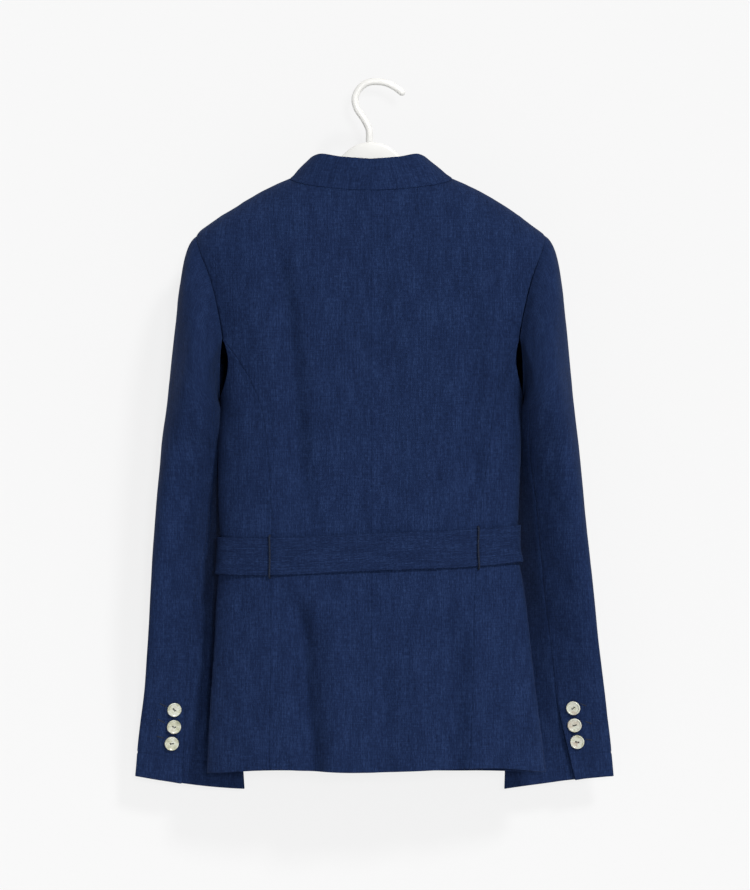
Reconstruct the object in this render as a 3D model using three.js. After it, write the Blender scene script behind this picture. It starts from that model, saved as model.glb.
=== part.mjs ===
// A linen blazer with a stand collar and a tied belt, hanging on a plastic hanger.
// Millimetres. +Z is up, the fronts face -Y, and +X is the wearer's left.
// The origin is inside the top of the hanger's hook, where it hangs.
import * as THREE from "three";

// Driving sizes
const WALL = 1.8; // jacket linen
const SEAM = 0.3; // gap between pieces that are sewn together
const BACK_NECK_Z = -116.4; // neck seam at the centre back
const NECK_POINT_Z = -102; // neck seam at the shoulder
const SHOULDER_Z = -166; // shoulder point, the top of the armhole
const PRINCESS_Z = -280; // where the princess seam leaves the armhole
const UNDERARM_Z = -346; // bottom of the armhole
const HEM_Z = -754;
const HEM_WAVE_Z = -690; // below this the cloth follows the hem's wave
const FRONT_NECK_Z = -173; // neck seam at the centre front
const LAP = 15; // how far each front runs past the centre front
const LAP_LIFT = WALL + 0.5; // how far the upper front stands off the under one
const LAP_START_Q = 1.78; // where round the body the upper front starts to lift
const LAP_RISE_Q = 0.1;
const BELT_WIDTH = 41;
const BELT_WALL = 2;
const CUFF_BUTTON = { radius: 7.85, thickness: 2.4 };
const FRONT_BUTTON = { radius: 10, thickness: 2.8 };
const BUTTON_SHANK = 0.45; // gap between a button and its cloth
const HANGER_THICKNESS = 11;
const HOOK_RADIUS = 3.5;

// Sections of the body. left and right are half widths, back and front are depths from mid, the y of the side
// edge, and square is the exponent of the superellipse, 2 for an ellipse.
const BODY = [
  { z: -102, left: 87, right: 87, back: 30, front: 30, mid: 0, square: 2.0 },
  { z: -115, left: 116, right: 116, back: 37, front: 40, mid: 0, square: 2.1 },
  { z: -137, left: 153, right: 153, back: 45, front: 51, mid: 0, square: 2.3 },
  { z: -159, left: 185, right: 183, back: 51, front: 57, mid: 0, square: 2.6 },
  { z: -166, left: 191.5, right: 191.5, back: 53, front: 59, mid: 0, square: 2.7 },
  { z: -182, left: 195, right: 196, back: 56, front: 61, mid: 0, square: 3.0 },
  { z: -209, left: 191, right: 192, back: 59, front: 62, mid: 0, square: 3.2 },
  { z: -240, left: 186, right: 187, back: 61, front: 63, mid: 0, square: 3.2 },
  { z: -280, left: 178, right: 179, back: 62, front: 64, mid: 0, square: 3.1 },
  { z: -346, left: 166.5, right: 167, back: 61, front: 63, mid: 0, square: 2.8 },
  { z: -379, left: 168, right: 166, back: 56, front: 63, mid: 3, square: 2.6 },
  { z: -456, left: 168, right: 162.5, back: 48, front: 64, mid: 8, square: 2.4 },
  { z: -511, left: 165.5, right: 161.5, back: 44, front: 64, mid: 10, square: 2.3 },
  { z: -566, left: 169.5, right: 170, back: 43, front: 64, mid: 11, square: 2.2 },
  { z: -621, left: 172.5, right: 176, back: 42, front: 62, mid: 11, square: 2.1 },
  { z: -676, left: 176, right: 182, back: 41, front: 60, mid: 11, square: 2.0 },
  { z: -758, left: 181, right: 193.5, back: 41, front: 57, mid: 9, square: 2.0 },
];

// Half width of the armhole seam on the back and on the front
const ARMHOLE = [
  { z: -166, back: 191.5, front: 191.5 },
  { z: -172, back: 191, front: 190.5 },
  { z: -182, back: 188.5, front: 186 },
  { z: -209, back: 178, front: 173 },
  { z: -240, back: 169.5, front: 163 },
  { z: -280, back: 162.5, front: 157 },
  { z: -310, back: 162, front: 158 },
  { z: -335, back: 164, front: 163.5 },
  { z: -346, back: 166.5, front: 166.5 },
];

// Half width of the princess seams on the back
const PRINCESS = [
  { z: -280, left: 162.5, right: 162.5 },
  { z: -303, left: 146, right: 149 },
  { z: -325, left: 133, right: 141 },
  { z: -354, left: 121, right: 135 },
  { z: -400, left: 114, right: 129 },
  { z: -456, left: 110, right: 121 },
  { z: -540, left: 110, right: 114.5 },
  { z: -680, left: 111, right: 110.5 },
  { z: -760, left: 112, right: 107 },
];

// Neck seam on the fronts: q is 1 at the shoulder and 2 at the centre front
const FRONT_NECK = [
  { q: 1, z: -102 },
  { q: 1.25, z: -105.5 },
  { q: 1.45, z: -116 },
  { q: 1.6, z: -131 },
  { q: 1.75, z: -150 },
  { q: 1.88, z: -166 },
  { q: 2, z: FRONT_NECK_Z },
];

// Top edge of the collar: q is 0 at the centre back, 1 at the side and 2 at the centre front, left and right
// are half widths
const COLLAR_TOP = [
  { q: 0, left: 0, right: 0, y: 32, z: -81.5 },
  { q: 0.35, left: 33, right: 31, y: 29.5, z: -79 },
  { q: 0.62, left: 57, right: 52, y: 17, z: -75.6 },
  { q: 1, left: 69, right: 64, y: -12, z: -85 },
  { q: 1.4, left: 60, right: 59, y: -39, z: -106 },
  { q: 1.7, left: 37, right: 36, y: -57, z: -127 },
  { q: 2, left: 2, right: 2, y: -65, z: -139 },
];

// How far the hem lies below or above HEM_Z round each side
const HEM = [
  { q: 0, left: -0.7, right: -0.7 },
  { q: 0.14, left: -0.8, right: 0.2 },
  { q: 0.42, left: 1.4, right: 2.4 },
  { q: 0.57, left: 2.5, right: 3.6 },
  { q: 0.72, left: 0.5, right: 3.5 },
  { q: 1, left: -2.2, right: -1 },
  { q: 1.5, left: -1, right: -1 },
  { q: 2, left: -2.5, right: -2.5 },
];

// Largest folds: a trough, or a ridge where depth is below 0, that runs down through x at three heights
const BACK_FOLDS = [
  { top: -150, mid: -350, low: -482, x1: 108, x2: 86, x3: 82, width: 20, depth: 5 },
  { top: -200, mid: -340, low: -482, x1: -124, x2: -128, x3: -124, width: 20, depth: -4 },
  { top: -200, mid: -270, low: -340, x1: -2, x2: -4, x3: -2, width: 14, depth: 2 },
  { top: -545, mid: -625, low: -760, x1: 88, x2: 77, x3: 75, width: 16, depth: 9 },
  { top: -560, mid: -676, low: -760, x1: 44, x2: 42, x3: 42, width: 17, depth: -4 },
  { top: -610, mid: -690, low: -760, x1: -5, x2: -6, x3: -6, width: 13, depth: 3 },
  { top: -555, mid: -650, low: -760, x1: -80, x2: -75, x3: -74, width: 20, depth: 6 },
  { top: -560, mid: -650, low: -760, x1: -112, x2: -111, x3: -112, width: 18, depth: -4 },
];
const FRONT_FOLDS = [
  { top: -180, mid: -330, low: -480, x1: 120, x2: 104, x3: 92, width: 24, depth: 4 },
  { top: -190, mid: -340, low: -480, x1: -124, x2: -108, x3: -90, width: 24, depth: 4 },
  { top: -550, mid: -650, low: -760, x1: 92, x2: 86, x3: 80, width: 20, depth: 7 },
  { top: -550, mid: -650, low: -760, x1: -84, x2: -90, x3: -97, width: 20, depth: 7 },
];

// Sections of the sleeves from the underarm down, inner and outer edges as half widths from the body's middle
const SLEEVE_EDGES = [
  { z: -356, outerLeft: 225.5, outerRight: 224, innerLeft: 170.5, innerRight: 170.5 },
  { z: -401, outerLeft: 231, outerRight: 229, innerLeft: 167.5, innerRight: 165 },
  { z: -456, outerLeft: 236, outerRight: 234.3, innerLeft: 164, innerRight: 158.5 },
  { z: -511, outerLeft: 240, outerRight: 240, innerLeft: 162, innerRight: 158 },
  { z: -566, outerLeft: 243, outerRight: 245.7, innerLeft: 158, innerRight: 158 },
  { z: -621, outerLeft: 246.5, outerRight: 251.3, innerLeft: 151, innerRight: 154 },
  { z: -676, outerLeft: 250.8, outerRight: 258, innerLeft: 146, innerRight: 151 },
  { z: -731, outerLeft: 257, outerRight: 264.3, innerLeft: 142.5, innerRight: 148.5 },
  { z: -768.5, outerLeft: 260.5, outerRight: 268, innerLeft: 140, innerRight: 147 },
];
// y and depth are the middle and the half depth, lean carries the outer edge to +Y and the inner one to -Y,
// pinch is how much thinner the sleeve is at its inner edge, and drop is how far the inner edge hangs below the
// outer one at the cuff.
const SLEEVE = [
  { z: -356, y: -1, depth: 63.5, lean: 1, pinch: 0.1, drop: 0 },
  { z: -378, y: -4, depth: 61, lean: 5, pinch: 0.2, drop: 0 },
  { z: -401, y: -10, depth: 56, lean: 11, pinch: 0.35, drop: 0 },
  { z: -456, y: -18, depth: 46, lean: 20, pinch: 0.5, drop: 0 },
  { z: -511, y: -22, depth: 39, lean: 25, pinch: 0.5, drop: 0 },
  { z: -566, y: -25, depth: 31, lean: 27, pinch: 0.45, drop: 0 },
  { z: -621, y: -29, depth: 23, lean: 23, pinch: 0.35, drop: 2 },
  { z: -676, y: -34, depth: 17, lean: 16, pinch: 0.2, drop: 6 },
  { z: -731, y: -39, depth: 11.5, lean: 9, pinch: 0.1, drop: 12 },
  { z: -768.5, y: -41.5, depth: 8.5, lean: 5, pinch: 0, drop: 14.4 },
];
const CUFF_SAG = { left: 0.14, right: -0.08 }; // how far a cuff's edge bows down between its ends, as a share
// Half widths of the seams on the sleeves' backs, and the angle round the sleeve, from the outer edge, of those
// on their fronts
const SLEEVE_SEAMS = [
  { z: -356, left: 173, right: 173, front: 142 },
  { z: -401, left: 174, right: 173.5, front: 138 },
  { z: -456, left: 176.5, right: 181, front: 136 },
  { z: -500, left: 180.5, right: 185, front: 134 },
  { z: -530, left: 187.5, right: 188, front: 133 },
  { z: -566, left: 193.5, right: 191.5, front: 132 },
  { z: -621, left: 200, right: 198, front: 130 },
  { z: -676, left: 204.5, right: 205, front: 128 },
  { z: -731, left: 207.5, right: 217, front: 127 },
  { z: -768.5, left: 209.5, right: 225.5, front: 126 },
];
// Rows of points down each piece
const SHOULDER_ROWS = [-112, -124, -137, -151];
const ARMHOLE_ROWS = [-166, -171, -182, -203, -228, -254, -280];
const UNDERARM_COLUMNS = 4; // points from the princess seam to the underarm
const SKIRT_ROWS = [-303, -325, -354, -388, -425, -462, -498, -540, -566, -610, -655, -700, -730];
const ELBOW_ROWS = [-378, -401, -428, -456, -484, -511, -538, -566, -594];
const SLEEVE_ROWS = [...ELBOW_ROWS, -621, -650, -676, -704, -731, -768.5];
const CAP_ROWS = 5;

// How a sleeve's cap leaves the armhole: its direction at the shoulder point and how that turns towards the
// back and the front, how far it runs straight out, how far the curve rises from the sleeve below, and its gap
// to the armhole
const CAP = {
  out: 0.87,
  outLoss: 0.25,
  facing: 0.55,
  down: -0.5,
  run: 4,
  runShare: 0.13,
  runMost: 24,
  rise: 0.38,
  riseTop: 0.25,
  gap: 0.5,
  spread: 1.15,
};
const CAP_SHARE = { left: 1, right: 0.88 }; // how far each cap stands out

// Belt: z of its middle round the body, q as in COLLAR_TOP, and its clearance from the cloth
const BELT = [
  { q: 0, left: -513, right: -513, clear: 0.9 },
  { q: 0.6, left: -518, right: -509, clear: 0.9 },
  { q: 1, left: -517, right: -504, clear: 1.7 },
  { q: 1.4, left: -514, right: -508, clear: 2.2 },
  { q: 2, left: -512, right: -512, clear: 3 },
];
const KNOT = { halfWidth: 16, halfHeight: 19, thickness: 15, gap: 0.5 };

// The belt's two ends: half width and offset at the knot and low down, and clearance of the cloth at both
const TAIL = { length: 190, topHalf: 5, topX: 6.5, lowX: 24.5, topClear: 4.7, lowClear: 1.2 };

// Heights of the buttons, and the place of the cuff buttons across the sleeve
const CUFF_BUTTONS = [
  { z: -686, left: 216, right: 223 },
  { z: -705, left: 216.5, right: 224.5 },
  { z: -723.5, left: 219, right: 227.5 },
];
const FRONT_BUTTONS = [-212, -298, -384, -466];

// Top edge of the hanger in the neck, and the centre line of its hook
const HANGER_DOME = [
  { x: 0, z: -62.5 },
  { x: 9, z: -63.5 },
  { x: 18, z: -66.7 },
  { x: 26, z: -72 },
  { x: 33, z: -78.5 },
  { x: 45, z: -85.5 },
  { x: 62, z: -92.5 },
];
const HANGER_END = 173; // half width
const HANGER_LAST_Z = -160; // lowest point of the arm's top edge that follows the shoulder
const HANGER_TIP = { slope: 0.72, outDrop: 23, lowDrop: 33, lowIn: 6 };
const HANGER_DROP = 3.3; // top edge below the shoulder line, which leaves the cloth's wall and 0.3 mm
const HANGER_HEIGHT = 20; // of an arm
const HANGER_NECK = { reach: 70, extra: 8, in: 3, lastX: 20 }; // the lower edge near the hook and the tip
const HANGER_BEVEL = 3;
const HOOK = [
  { x: 1.8, z: -62 },
  { x: 2.2, z: -49 },
  { x: 8.2, z: -36.5 },
  { x: 15.2, z: -26 },
  { x: 17.6, z: -15 },
  { x: 13, z: -4 },
  { x: 5, z: 2.3 },
  { x: -4, z: 4 },
  { x: -15.4, z: 2.8 },
  { x: -26.4, z: -2.2 },
  { x: -36.3, z: -9.7 },
];

const radians = THREE.MathUtils.degToRad;
const clamp01 = (t) => Math.min(1, Math.max(0, t));
const smooth = (t) => clamp01(t) ** 2 * (3 - 2 * clamp01(t));

// A smooth curve through one column of a table, over its key column
function track(table, key, column) {
  const rows = [...table].sort((a, b) => a[key] - b[key]);
  const x = rows.map((row) => row[key]);
  const y = rows.map((row) => row[column]);
  const slope = x.map((_, i) => {
    const a = Math.max(0, i - 1);
    const b = Math.min(x.length - 1, i + 1);
    return (y[b] - y[a]) / (x[b] - x[a]);
  });
  return (at) => {
    const t = Math.min(x[x.length - 1], Math.max(x[0], at));
    let i = 0;
    while (i < x.length - 2 && t > x[i + 1]) i += 1;
    const h = x[i + 1] - x[i];
    const u = (t - x[i]) / h;
    const a = y[i] * (1 + 2 * u) * (1 - u) ** 2 + slope[i] * h * u * (1 - u) ** 2;
    const b = y[i + 1] * u * u * (3 - 2 * u) - slope[i + 1] * h * u * u * (1 - u);
    return a + b;
  };
}

const body = {};
for (const column of ["left", "right", "back", "front", "mid", "square"]) {
  body[column] = track(BODY, "z", column);
}

const FOLD_FADE = 0.25; // share of a fold's run over which it starts and ends
const FOLD_FACING = 1.4; // how fast folds fade where the cloth turns to the side

// How deep the folds are at a place of the back or the fronts
function foldDepth(folds, x, z) {
  let depth = 0;
  for (const fold of folds) {
    const down = (z - fold.top) / (fold.low - fold.top);
    const bend = (fold.mid - fold.top) / (fold.low - fold.top);
    const toMid = fold.x1 + (fold.x2 - fold.x1) * smooth(down / bend);
    const centre = toMid + (fold.x3 - fold.x2) * smooth((down - bend) / (1 - bend));
    const start = smooth(down / FOLD_FADE);
    const end = fold.low < HEM_WAVE_Z ? 1 : smooth((1 - down) / FOLD_FADE);
    depth += fold.depth * start * end * Math.exp(-(((x - centre) / fold.width) ** 2));
  }
  return depth;
}

// One quarter of the body's section at a height, as points at even angles with their distances along it
const QUARTER_STEPS = 48;
function quarter(side, isBack, z) {
  const width = side > 0 ? body.left(z) : body.right(z);
  const depth = isBack ? body.back(z) : body.front(z);
  const power = 2 / body.square(z);
  const points = [];
  let length = 0;
  for (let i = 0; i <= QUARTER_STEPS; i += 1) {
    const angle = (i / QUARTER_STEPS) * (Math.PI / 2);
    const x = side * width * Math.sin(angle) ** power;
    const cosine = i === QUARTER_STEPS ? 0 : Math.cos(angle);
    const y = body.mid(z) + (isBack ? 1 : -1) * depth * cosine ** power;
    if (i > 0) length += Math.hypot(x - points[i - 1].x, y - points[i - 1].y);
    points.push({ x, y, length });
  }
  return points;
}

const quarterCache = new Map();
function cachedQuarter(side, isBack, z) {
  const key = `${side} ${isBack} ${z.toFixed(4)}`;
  if (!quarterCache.has(key)) quarterCache.set(key, quarter(side, isBack, z));
  return quarterCache.get(key);
}

// Length round one quarter of the body
const quarterLength = (side, isBack, z) => cachedQuarter(side, isBack, z)[QUARTER_STEPS].length;

// A point of the body's outer face. u is 0 at the centre back, 1 at the left side, 2 at the centre front and
// -1 at the right side, and goes on past 2.
function bodyPoint(u, z) {
  const turned = u > 2 ? u - 4 : u < -2 ? u + 4 : u;
  const side = turned < 0 ? -1 : 1;
  const q = Math.abs(turned);
  const isBack = q <= 1;
  const points = cachedQuarter(side, isBack, z);
  const along = (isBack ? q : 2 - q) * quarterLength(side, isBack, z);
  let i = 1;
  while (i < QUARTER_STEPS && points[i].length < along) i += 1;
  const a = points[i - 1];
  const b = points[i];
  const t = (along - a.length) / (b.length - a.length);
  const x = a.x + (b.x - a.x) * t;
  const y = a.y + (b.y - a.y) * t;
  const depth = isBack ? body.back(z) : body.front(z);
  const facing = clamp01(Math.abs(y - body.mid(z)) / depth);
  const fold = foldDepth(isBack ? BACK_FOLDS : FRONT_FOLDS, x, z) * smooth(facing * FOLD_FACING);
  return new THREE.Vector3(x, y + (isBack ? -fold : fold), z);
}

const NORMAL_STEP = { u: 0.012, z: 2 };
function bodyNormal(u, z) {
  const du = bodyPoint(u + NORMAL_STEP.u, z).sub(bodyPoint(u - NORMAL_STEP.u, z));
  const dz = bodyPoint(u, z + NORMAL_STEP.z).sub(bodyPoint(u, z - NORMAL_STEP.z));
  return dz.cross(du).normalize();
}

// The q at which the body reaches a half width, on the back or the front
function qAtWidth(side, isBack, z, halfWidth) {
  const points = cachedQuarter(side, isBack, z);
  const most = Math.abs(points[QUARTER_STEPS].x);
  if (halfWidth >= most) return 1;
  let i = 1;
  while (i < QUARTER_STEPS && Math.abs(points[i].x) < halfWidth) i += 1;
  const a = points[i - 1];
  const b = points[i];
  const t = (halfWidth - Math.abs(a.x)) / (Math.abs(b.x) - Math.abs(a.x));
  const q = (a.length + (b.length - a.length) * t) / quarterLength(side, isBack, z);
  return isBack ? q : 2 - q;
}

const armholeWidth = { back: track(ARMHOLE, "z", "back"), front: track(ARMHOLE, "z", "front") };
const princessWidth = { 1: track(PRINCESS, "z", "left"), "-1": track(PRINCESS, "z", "right") };

const princessQ = (side, z) => qAtWidth(side, true, Math.min(z, PRINCESS_Z), princessWidth[side](z));

// Under the princess seam the armhole runs round to the side seam with the top of the side back
const underarmShare = (z) => (2 / Math.PI) * Math.asin(clamp01((PRINCESS_Z - z) / (PRINCESS_Z - UNDERARM_Z)));

function armholeQ(side, isBack, z) {
  if (z >= SHOULDER_Z || z <= UNDERARM_Z) return 1;
  if (!isBack) return qAtWidth(side, false, z, armholeWidth.front(z));
  if (z >= PRINCESS_Z) return qAtWidth(side, true, z, armholeWidth.back(z));
  const start = princessQ(side, PRINCESS_Z);
  return start + (1 - start) * underarmShare(z);
}

// Heights at which the armhole's points lie, from the shoulder point to the underarm
const armholeHeights = [...ARMHOLE_ROWS];
for (let i = 1; i <= UNDERARM_COLUMNS; i += 1) {
  const drop = Math.sin((i / UNDERARM_COLUMNS) * (Math.PI / 2));
  armholeHeights.push(PRINCESS_Z - (PRINCESS_Z - UNDERARM_Z) * drop);
}

const NECK_CURVE = 1.6; // how slowly the back neck seam leaves the level
const backNeckZ = (q) => BACK_NECK_Z + (NECK_POINT_Z - BACK_NECK_Z) * clamp01(q) ** NECK_CURVE;
const frontNeck = track(FRONT_NECK, "q", "z");
const frontNeckZ = (q) => frontNeck(Math.min(q, 2));
const hemWave = { 1: track(HEM, "q", "left"), "-1": track(HEM, "q", "right") };

// How far the cloth lies below or above its plain height at a place of the skirt
const hemShift = (side, q, z) => hemWave[side](q) * clamp01((HEM_WAVE_Z - z) / (HEM_WAVE_Z - HEM_Z));

// Joins an outer and an inner grid of points into one closed wall. inset holds how far each edge, first and
// last column and top and bottom row, is drawn back into the piece.
function wall(outer, inner, inset = {}) {
  const rows = outer.length;
  const columns = outer[0].length;
  const pull = (grid, at, next, by) => {
    const from = grid[at[0]][at[1]];
    const step = grid[next[0]][next[1]].clone().sub(from);
    from.addScaledVector(step.normalize(), by);
  };
  for (const grid of [outer, inner]) {
    for (let r = 0; r < rows; r += 1) {
      if (inset.first) pull(grid, [r, 0], [r, 1], inset.first);
      if (inset.last) pull(grid, [r, columns - 1], [r, columns - 2], inset.last);
    }
    for (let c = 0; c < columns; c += 1) {
      if (inset.top) pull(grid, [0, c], [1, c], inset.top);
      if (inset.bottom) pull(grid, [rows - 1, c], [rows - 2, c], inset.bottom);
    }
  }
  const positions = [];
  for (const row of [...outer, ...inner]) {
    for (const p of row) positions.push(p.x, p.y, p.z);
  }
  const at = (layer, r, c) => layer * rows * columns + r * columns + c;
  const index = [];
  const quad = (a, b, c, d) => index.push(a, b, c, a, c, d);
  for (let r = 0; r < rows - 1; r += 1) {
    for (let c = 0; c < columns - 1; c += 1) {
      quad(at(0, r, c), at(0, r + 1, c), at(0, r + 1, c + 1), at(0, r, c + 1));
      quad(at(1, r, c), at(1, r, c + 1), at(1, r + 1, c + 1), at(1, r + 1, c));
    }
    quad(at(0, r, 0), at(1, r, 0), at(1, r + 1, 0), at(0, r + 1, 0));
    quad(at(0, r, columns - 1), at(0, r + 1, columns - 1), at(1, r + 1, columns - 1), at(1, r, columns - 1));
  }
  for (let c = 0; c < columns - 1; c += 1) {
    quad(at(0, 0, c), at(0, 0, c + 1), at(1, 0, c + 1), at(1, 0, c));
    quad(at(0, rows - 1, c), at(1, rows - 1, c), at(1, rows - 1, c + 1), at(0, rows - 1, c + 1));
  }
  return closed(positions, index);
}

// A geometry whose faces point out, whichever way its grid ran
function closed(positions, index) {
  const p = (i) => new THREE.Vector3().fromArray(positions, i * 3);
  let volume = 0;
  for (let i = 0; i < index.length; i += 3) {
    volume += p(index[i]).dot(p(index[i + 1]).cross(p(index[i + 2])));
  }
  if (volume < 0) {
    for (let i = 0; i < index.length; i += 3) {
      [index[i + 1], index[i + 2]] = [index[i + 2], index[i + 1]];
    }
  }
  const geometry = new THREE.BufferGeometry();
  geometry.setAttribute("position", new THREE.Float32BufferAttribute(positions, 3));
  geometry.setIndex(index);
  geometry.computeVertexNormals();
  return geometry;
}

const garment = new THREE.Group();
const LINEN = { color: 0x1e2d4e, roughness: 0.9, metalness: 0 };
const PEARL = { color: 0xcfcfbc, roughness: 0.3, metalness: 0 };
const PLASTIC = { color: 0xf2f2ee, roughness: 0.4, metalness: 0 };

function add(name, geometry, look) {
  const mesh = new THREE.Mesh(geometry, new THREE.MeshStandardMaterial(look));
  mesh.name = name;
  garment.add(mesh);
  return mesh;
}

// A piece of the body between two seams. from and to give q at a height, topZ the height at a share across,
// and shares how far down to the hem each row lies. lift raises the piece off the body's face.
function bodyPanel({ side, from, to, topZ, shares, columns, lift = () => 0 }) {
  const outer = [];
  const inner = [];
  for (const down of shares) {
    const outerRow = [];
    const innerRow = [];
    for (let i = 0; i <= columns; i += 1) {
      const across = i / columns;
      const plainZ = topZ(across) + (HEM_Z - topZ(across)) * down;
      const q = from(plainZ) + (to(plainZ) - from(plainZ)) * across;
      const z = plainZ + hemShift(side, q, plainZ);
      const normal = bodyNormal(side * q, z);
      const point = bodyPoint(side * q, z).addScaledVector(normal, lift(q, z));
      outerRow.push(point);
      innerRow.push(point.clone().addScaledVector(normal, -WALL));
    }
    outer.push(outerRow);
    inner.push(innerRow);
  }
  return { outer, inner };
}

const shareOf = (z, top, low) => (z - top) / (low - top);
const HALF_SEAM = { first: SEAM / 2, last: SEAM / 2 };
const sideName = { 1: "left", "-1": "right" };

// Backs, from the centre seam to the shoulder, the armhole and the princess seam
const BACK_COLUMNS = 10;
const backRows = [NECK_POINT_Z, ...SHOULDER_ROWS, ...ARMHOLE_ROWS, ...SKIRT_ROWS, HEM_Z];
for (const side of [1, -1]) {
  const { outer, inner } = bodyPanel({
    side,
    from: () => 0,
    to: (z) => (z >= PRINCESS_Z ? armholeQ(side, true, z) : princessQ(side, z)),
    topZ: backNeckZ,
    shares: backRows.map((z) => shareOf(z, NECK_POINT_Z, HEM_Z)),
    columns: BACK_COLUMNS,
  });
  add(`back_${sideName[side]}`, wall(outer, inner, HALF_SEAM), LINEN);
}

// Side backs, from the princess seam and the underarm to the side seam
for (const side of [1, -1]) {
  const { outer, inner } = bodyPanel({
    side,
    from: (z) => princessQ(side, z),
    to: () => 1,
    topZ: (across) => PRINCESS_Z - (PRINCESS_Z - UNDERARM_Z) * Math.sin((across * Math.PI) / 2),
    shares: [PRINCESS_Z, ...SKIRT_ROWS, HEM_Z].map((z) => shareOf(z, PRINCESS_Z, HEM_Z)),
    columns: UNDERARM_COLUMNS,
  });
  add(`side_back_${sideName[side]}`, wall(outer, inner, HALF_SEAM), LINEN);
}

// Fronts, from the side seam, the armhole and the shoulder to just past the centre front
const FRONT_COLUMNS = 11;
const frontEndQ = 2 + LAP / quarterLength(1, false, FRONT_NECK_Z);
const lapLift = (q) => LAP_LIFT * smooth((q - LAP_START_Q) / LAP_RISE_Q);
const frontRows = [NECK_POINT_Z, ...SHOULDER_ROWS, ...armholeHeights, ...SKIRT_ROWS.slice(2), HEM_Z];
for (const side of [1, -1]) {
  const { outer, inner } = bodyPanel({
    side,
    from: (z) => armholeQ(side, false, z),
    to: () => frontEndQ,
    topZ: (across) => frontNeckZ(1 + (frontEndQ - 1) * across),
    shares: frontRows.map((z) => shareOf(z, NECK_POINT_Z, HEM_Z)),
    columns: FRONT_COLUMNS,
    lift: side < 0 ? lapLift : () => 0,
  });
  add(`front_${sideName[side]}`, wall(outer, inner, { first: SEAM / 2 }), LINEN);
}

// Stand collar, on the neck seam of the fronts and the backs
const collarTop = {};
for (const column of ["left", "right", "y", "z"]) collarTop[column] = track(COLLAR_TOP, "q", column);
const COLLAR_ROWS = 4;
const COLLAR_OUT = 2; // how far the stand bows out between its edges
const COLLAR_SEAM = 0.6; // gap to the neck seam

// The collar's columns are those of the fronts and backs, and it ends one short of the lap
const collarQ = [];
for (let i = FRONT_COLUMNS - 1; i >= 0; i -= 1) collarQ.push(1 + ((frontEndQ - 1) * i) / FRONT_COLUMNS);
for (let i = BACK_COLUMNS - 1; i >= 0; i -= 1) collarQ.push(i / BACK_COLUMNS);
const collarU = [...collarQ, ...collarQ.slice(0, -1).reverse().map((q) => -q)];

function neckPoint(u) {
  const q = Math.abs(u);
  return bodyPoint(u, q > 1 ? frontNeckZ(q) : backNeckZ(q));
}

const collarGrid = [];
for (let r = 0; r <= COLLAR_ROWS; r += 1) {
  const up = 1 - r / COLLAR_ROWS;
  collarGrid.push(
    collarU.map((u) => {
      const q = Math.abs(u);
      const side = u < 0 ? -1 : 1;
      const base = neckPoint(u);
      const top = new THREE.Vector3(side * collarTop[sideName[side]](q), collarTop.y(q), collarTop.z(q));
      const out = new THREE.Vector3(base.x, base.y, 0).normalize();
      return base.lerp(top, up).addScaledVector(out, COLLAR_OUT * Math.sin(Math.PI * up) * Math.sqrt(up));
    }),
  );
}

// Normals of a grid of points, out of the side that the hint points to
function gridNormals(grid, isRing, hint) {
  const rows = grid.length;
  const columns = grid[0].length;
  return grid.map((row, r) =>
    row.map((point, c) => {
      const before = isRing ? (c + columns - 1) % columns : Math.max(0, c - 1);
      const after = isRing ? (c + 1) % columns : Math.min(columns - 1, c + 1);
      const across = row[after].clone().sub(row[before]);
      const down = grid[Math.min(rows - 1, r + 1)][c].clone().sub(grid[Math.max(0, r - 1)][c]);
      const normal = across.cross(down).normalize();
      return normal.dot(hint(point, r)) < 0 ? normal.negate() : normal;
    }),
  );
}

function inwards(grid, normals, distance) {
  return grid.map((row, r) => row.map((p, c) => p.clone().addScaledVector(normals[r][c], -distance)));
}

const collarNormals = gridNormals(collarGrid, false, (p) => new THREE.Vector3(p.x, p.y + 5, 8));
const collarInner = inwards(collarGrid, collarNormals, WALL);
add("collar", wall(collarGrid, collarInner, { bottom: COLLAR_SEAM }), LINEN);

// Sleeves: a ring of columns from the armhole, over the cap, down to the cuff. Column 0 is the shoulder
// point, and the columns go down the back to the underarm and up the front.
const sleeve = {};
for (const column of ["y", "depth", "lean", "pinch", "drop"]) sleeve[column] = track(SLEEVE, "z", column);
const sleeveEdge = {};
for (const column of ["outerLeft", "outerRight", "innerLeft", "innerRight"]) {
  sleeveEdge[column] = track(SLEEVE_EDGES, "z", column);
}
const sleeveSeam = {};
for (const column of ["left", "right", "front"]) sleeveSeam[column] = track(SLEEVE_SEAMS, "z", column);
const HALF_RING = armholeHeights.length - 1; // columns from the shoulder point to the underarm
const SEAM_COLUMN = HALF_RING - 3; // the top sleeve's edge

// Half width of a sleeve and the half width from the body's middle to the sleeve's
function sleeveSize(side, z) {
  const outer = side > 0 ? sleeveEdge.outerLeft(z) : sleeveEdge.outerRight(z);
  const inner = side > 0 ? sleeveEdge.innerLeft(z) : sleeveEdge.innerRight(z);
  return { halfWidth: (outer - inner) / 2, middle: (outer + inner) / 2 };
}

// Angle of a column at a height, so that the seams keep their columns
function columnAngle(side, column, z) {
  const isBack = column <= HALF_RING;
  const k = isBack ? column : 2 * HALF_RING - column;
  const { halfWidth, middle } = sleeveSize(side, z);
  const across = (sleeveSeam[sideName[side]](z) - middle) / halfWidth;
  const seam = isBack ? THREE.MathUtils.radToDeg(Math.acos(across)) : sleeveSeam.front(z);
  const angle =
    k <= SEAM_COLUMN
      ? (seam * k) / SEAM_COLUMN
      : seam + ((180 - seam) * (k - SEAM_COLUMN)) / (HALF_RING - SEAM_COLUMN);
  return radians(isBack ? angle : -angle);
}

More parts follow.
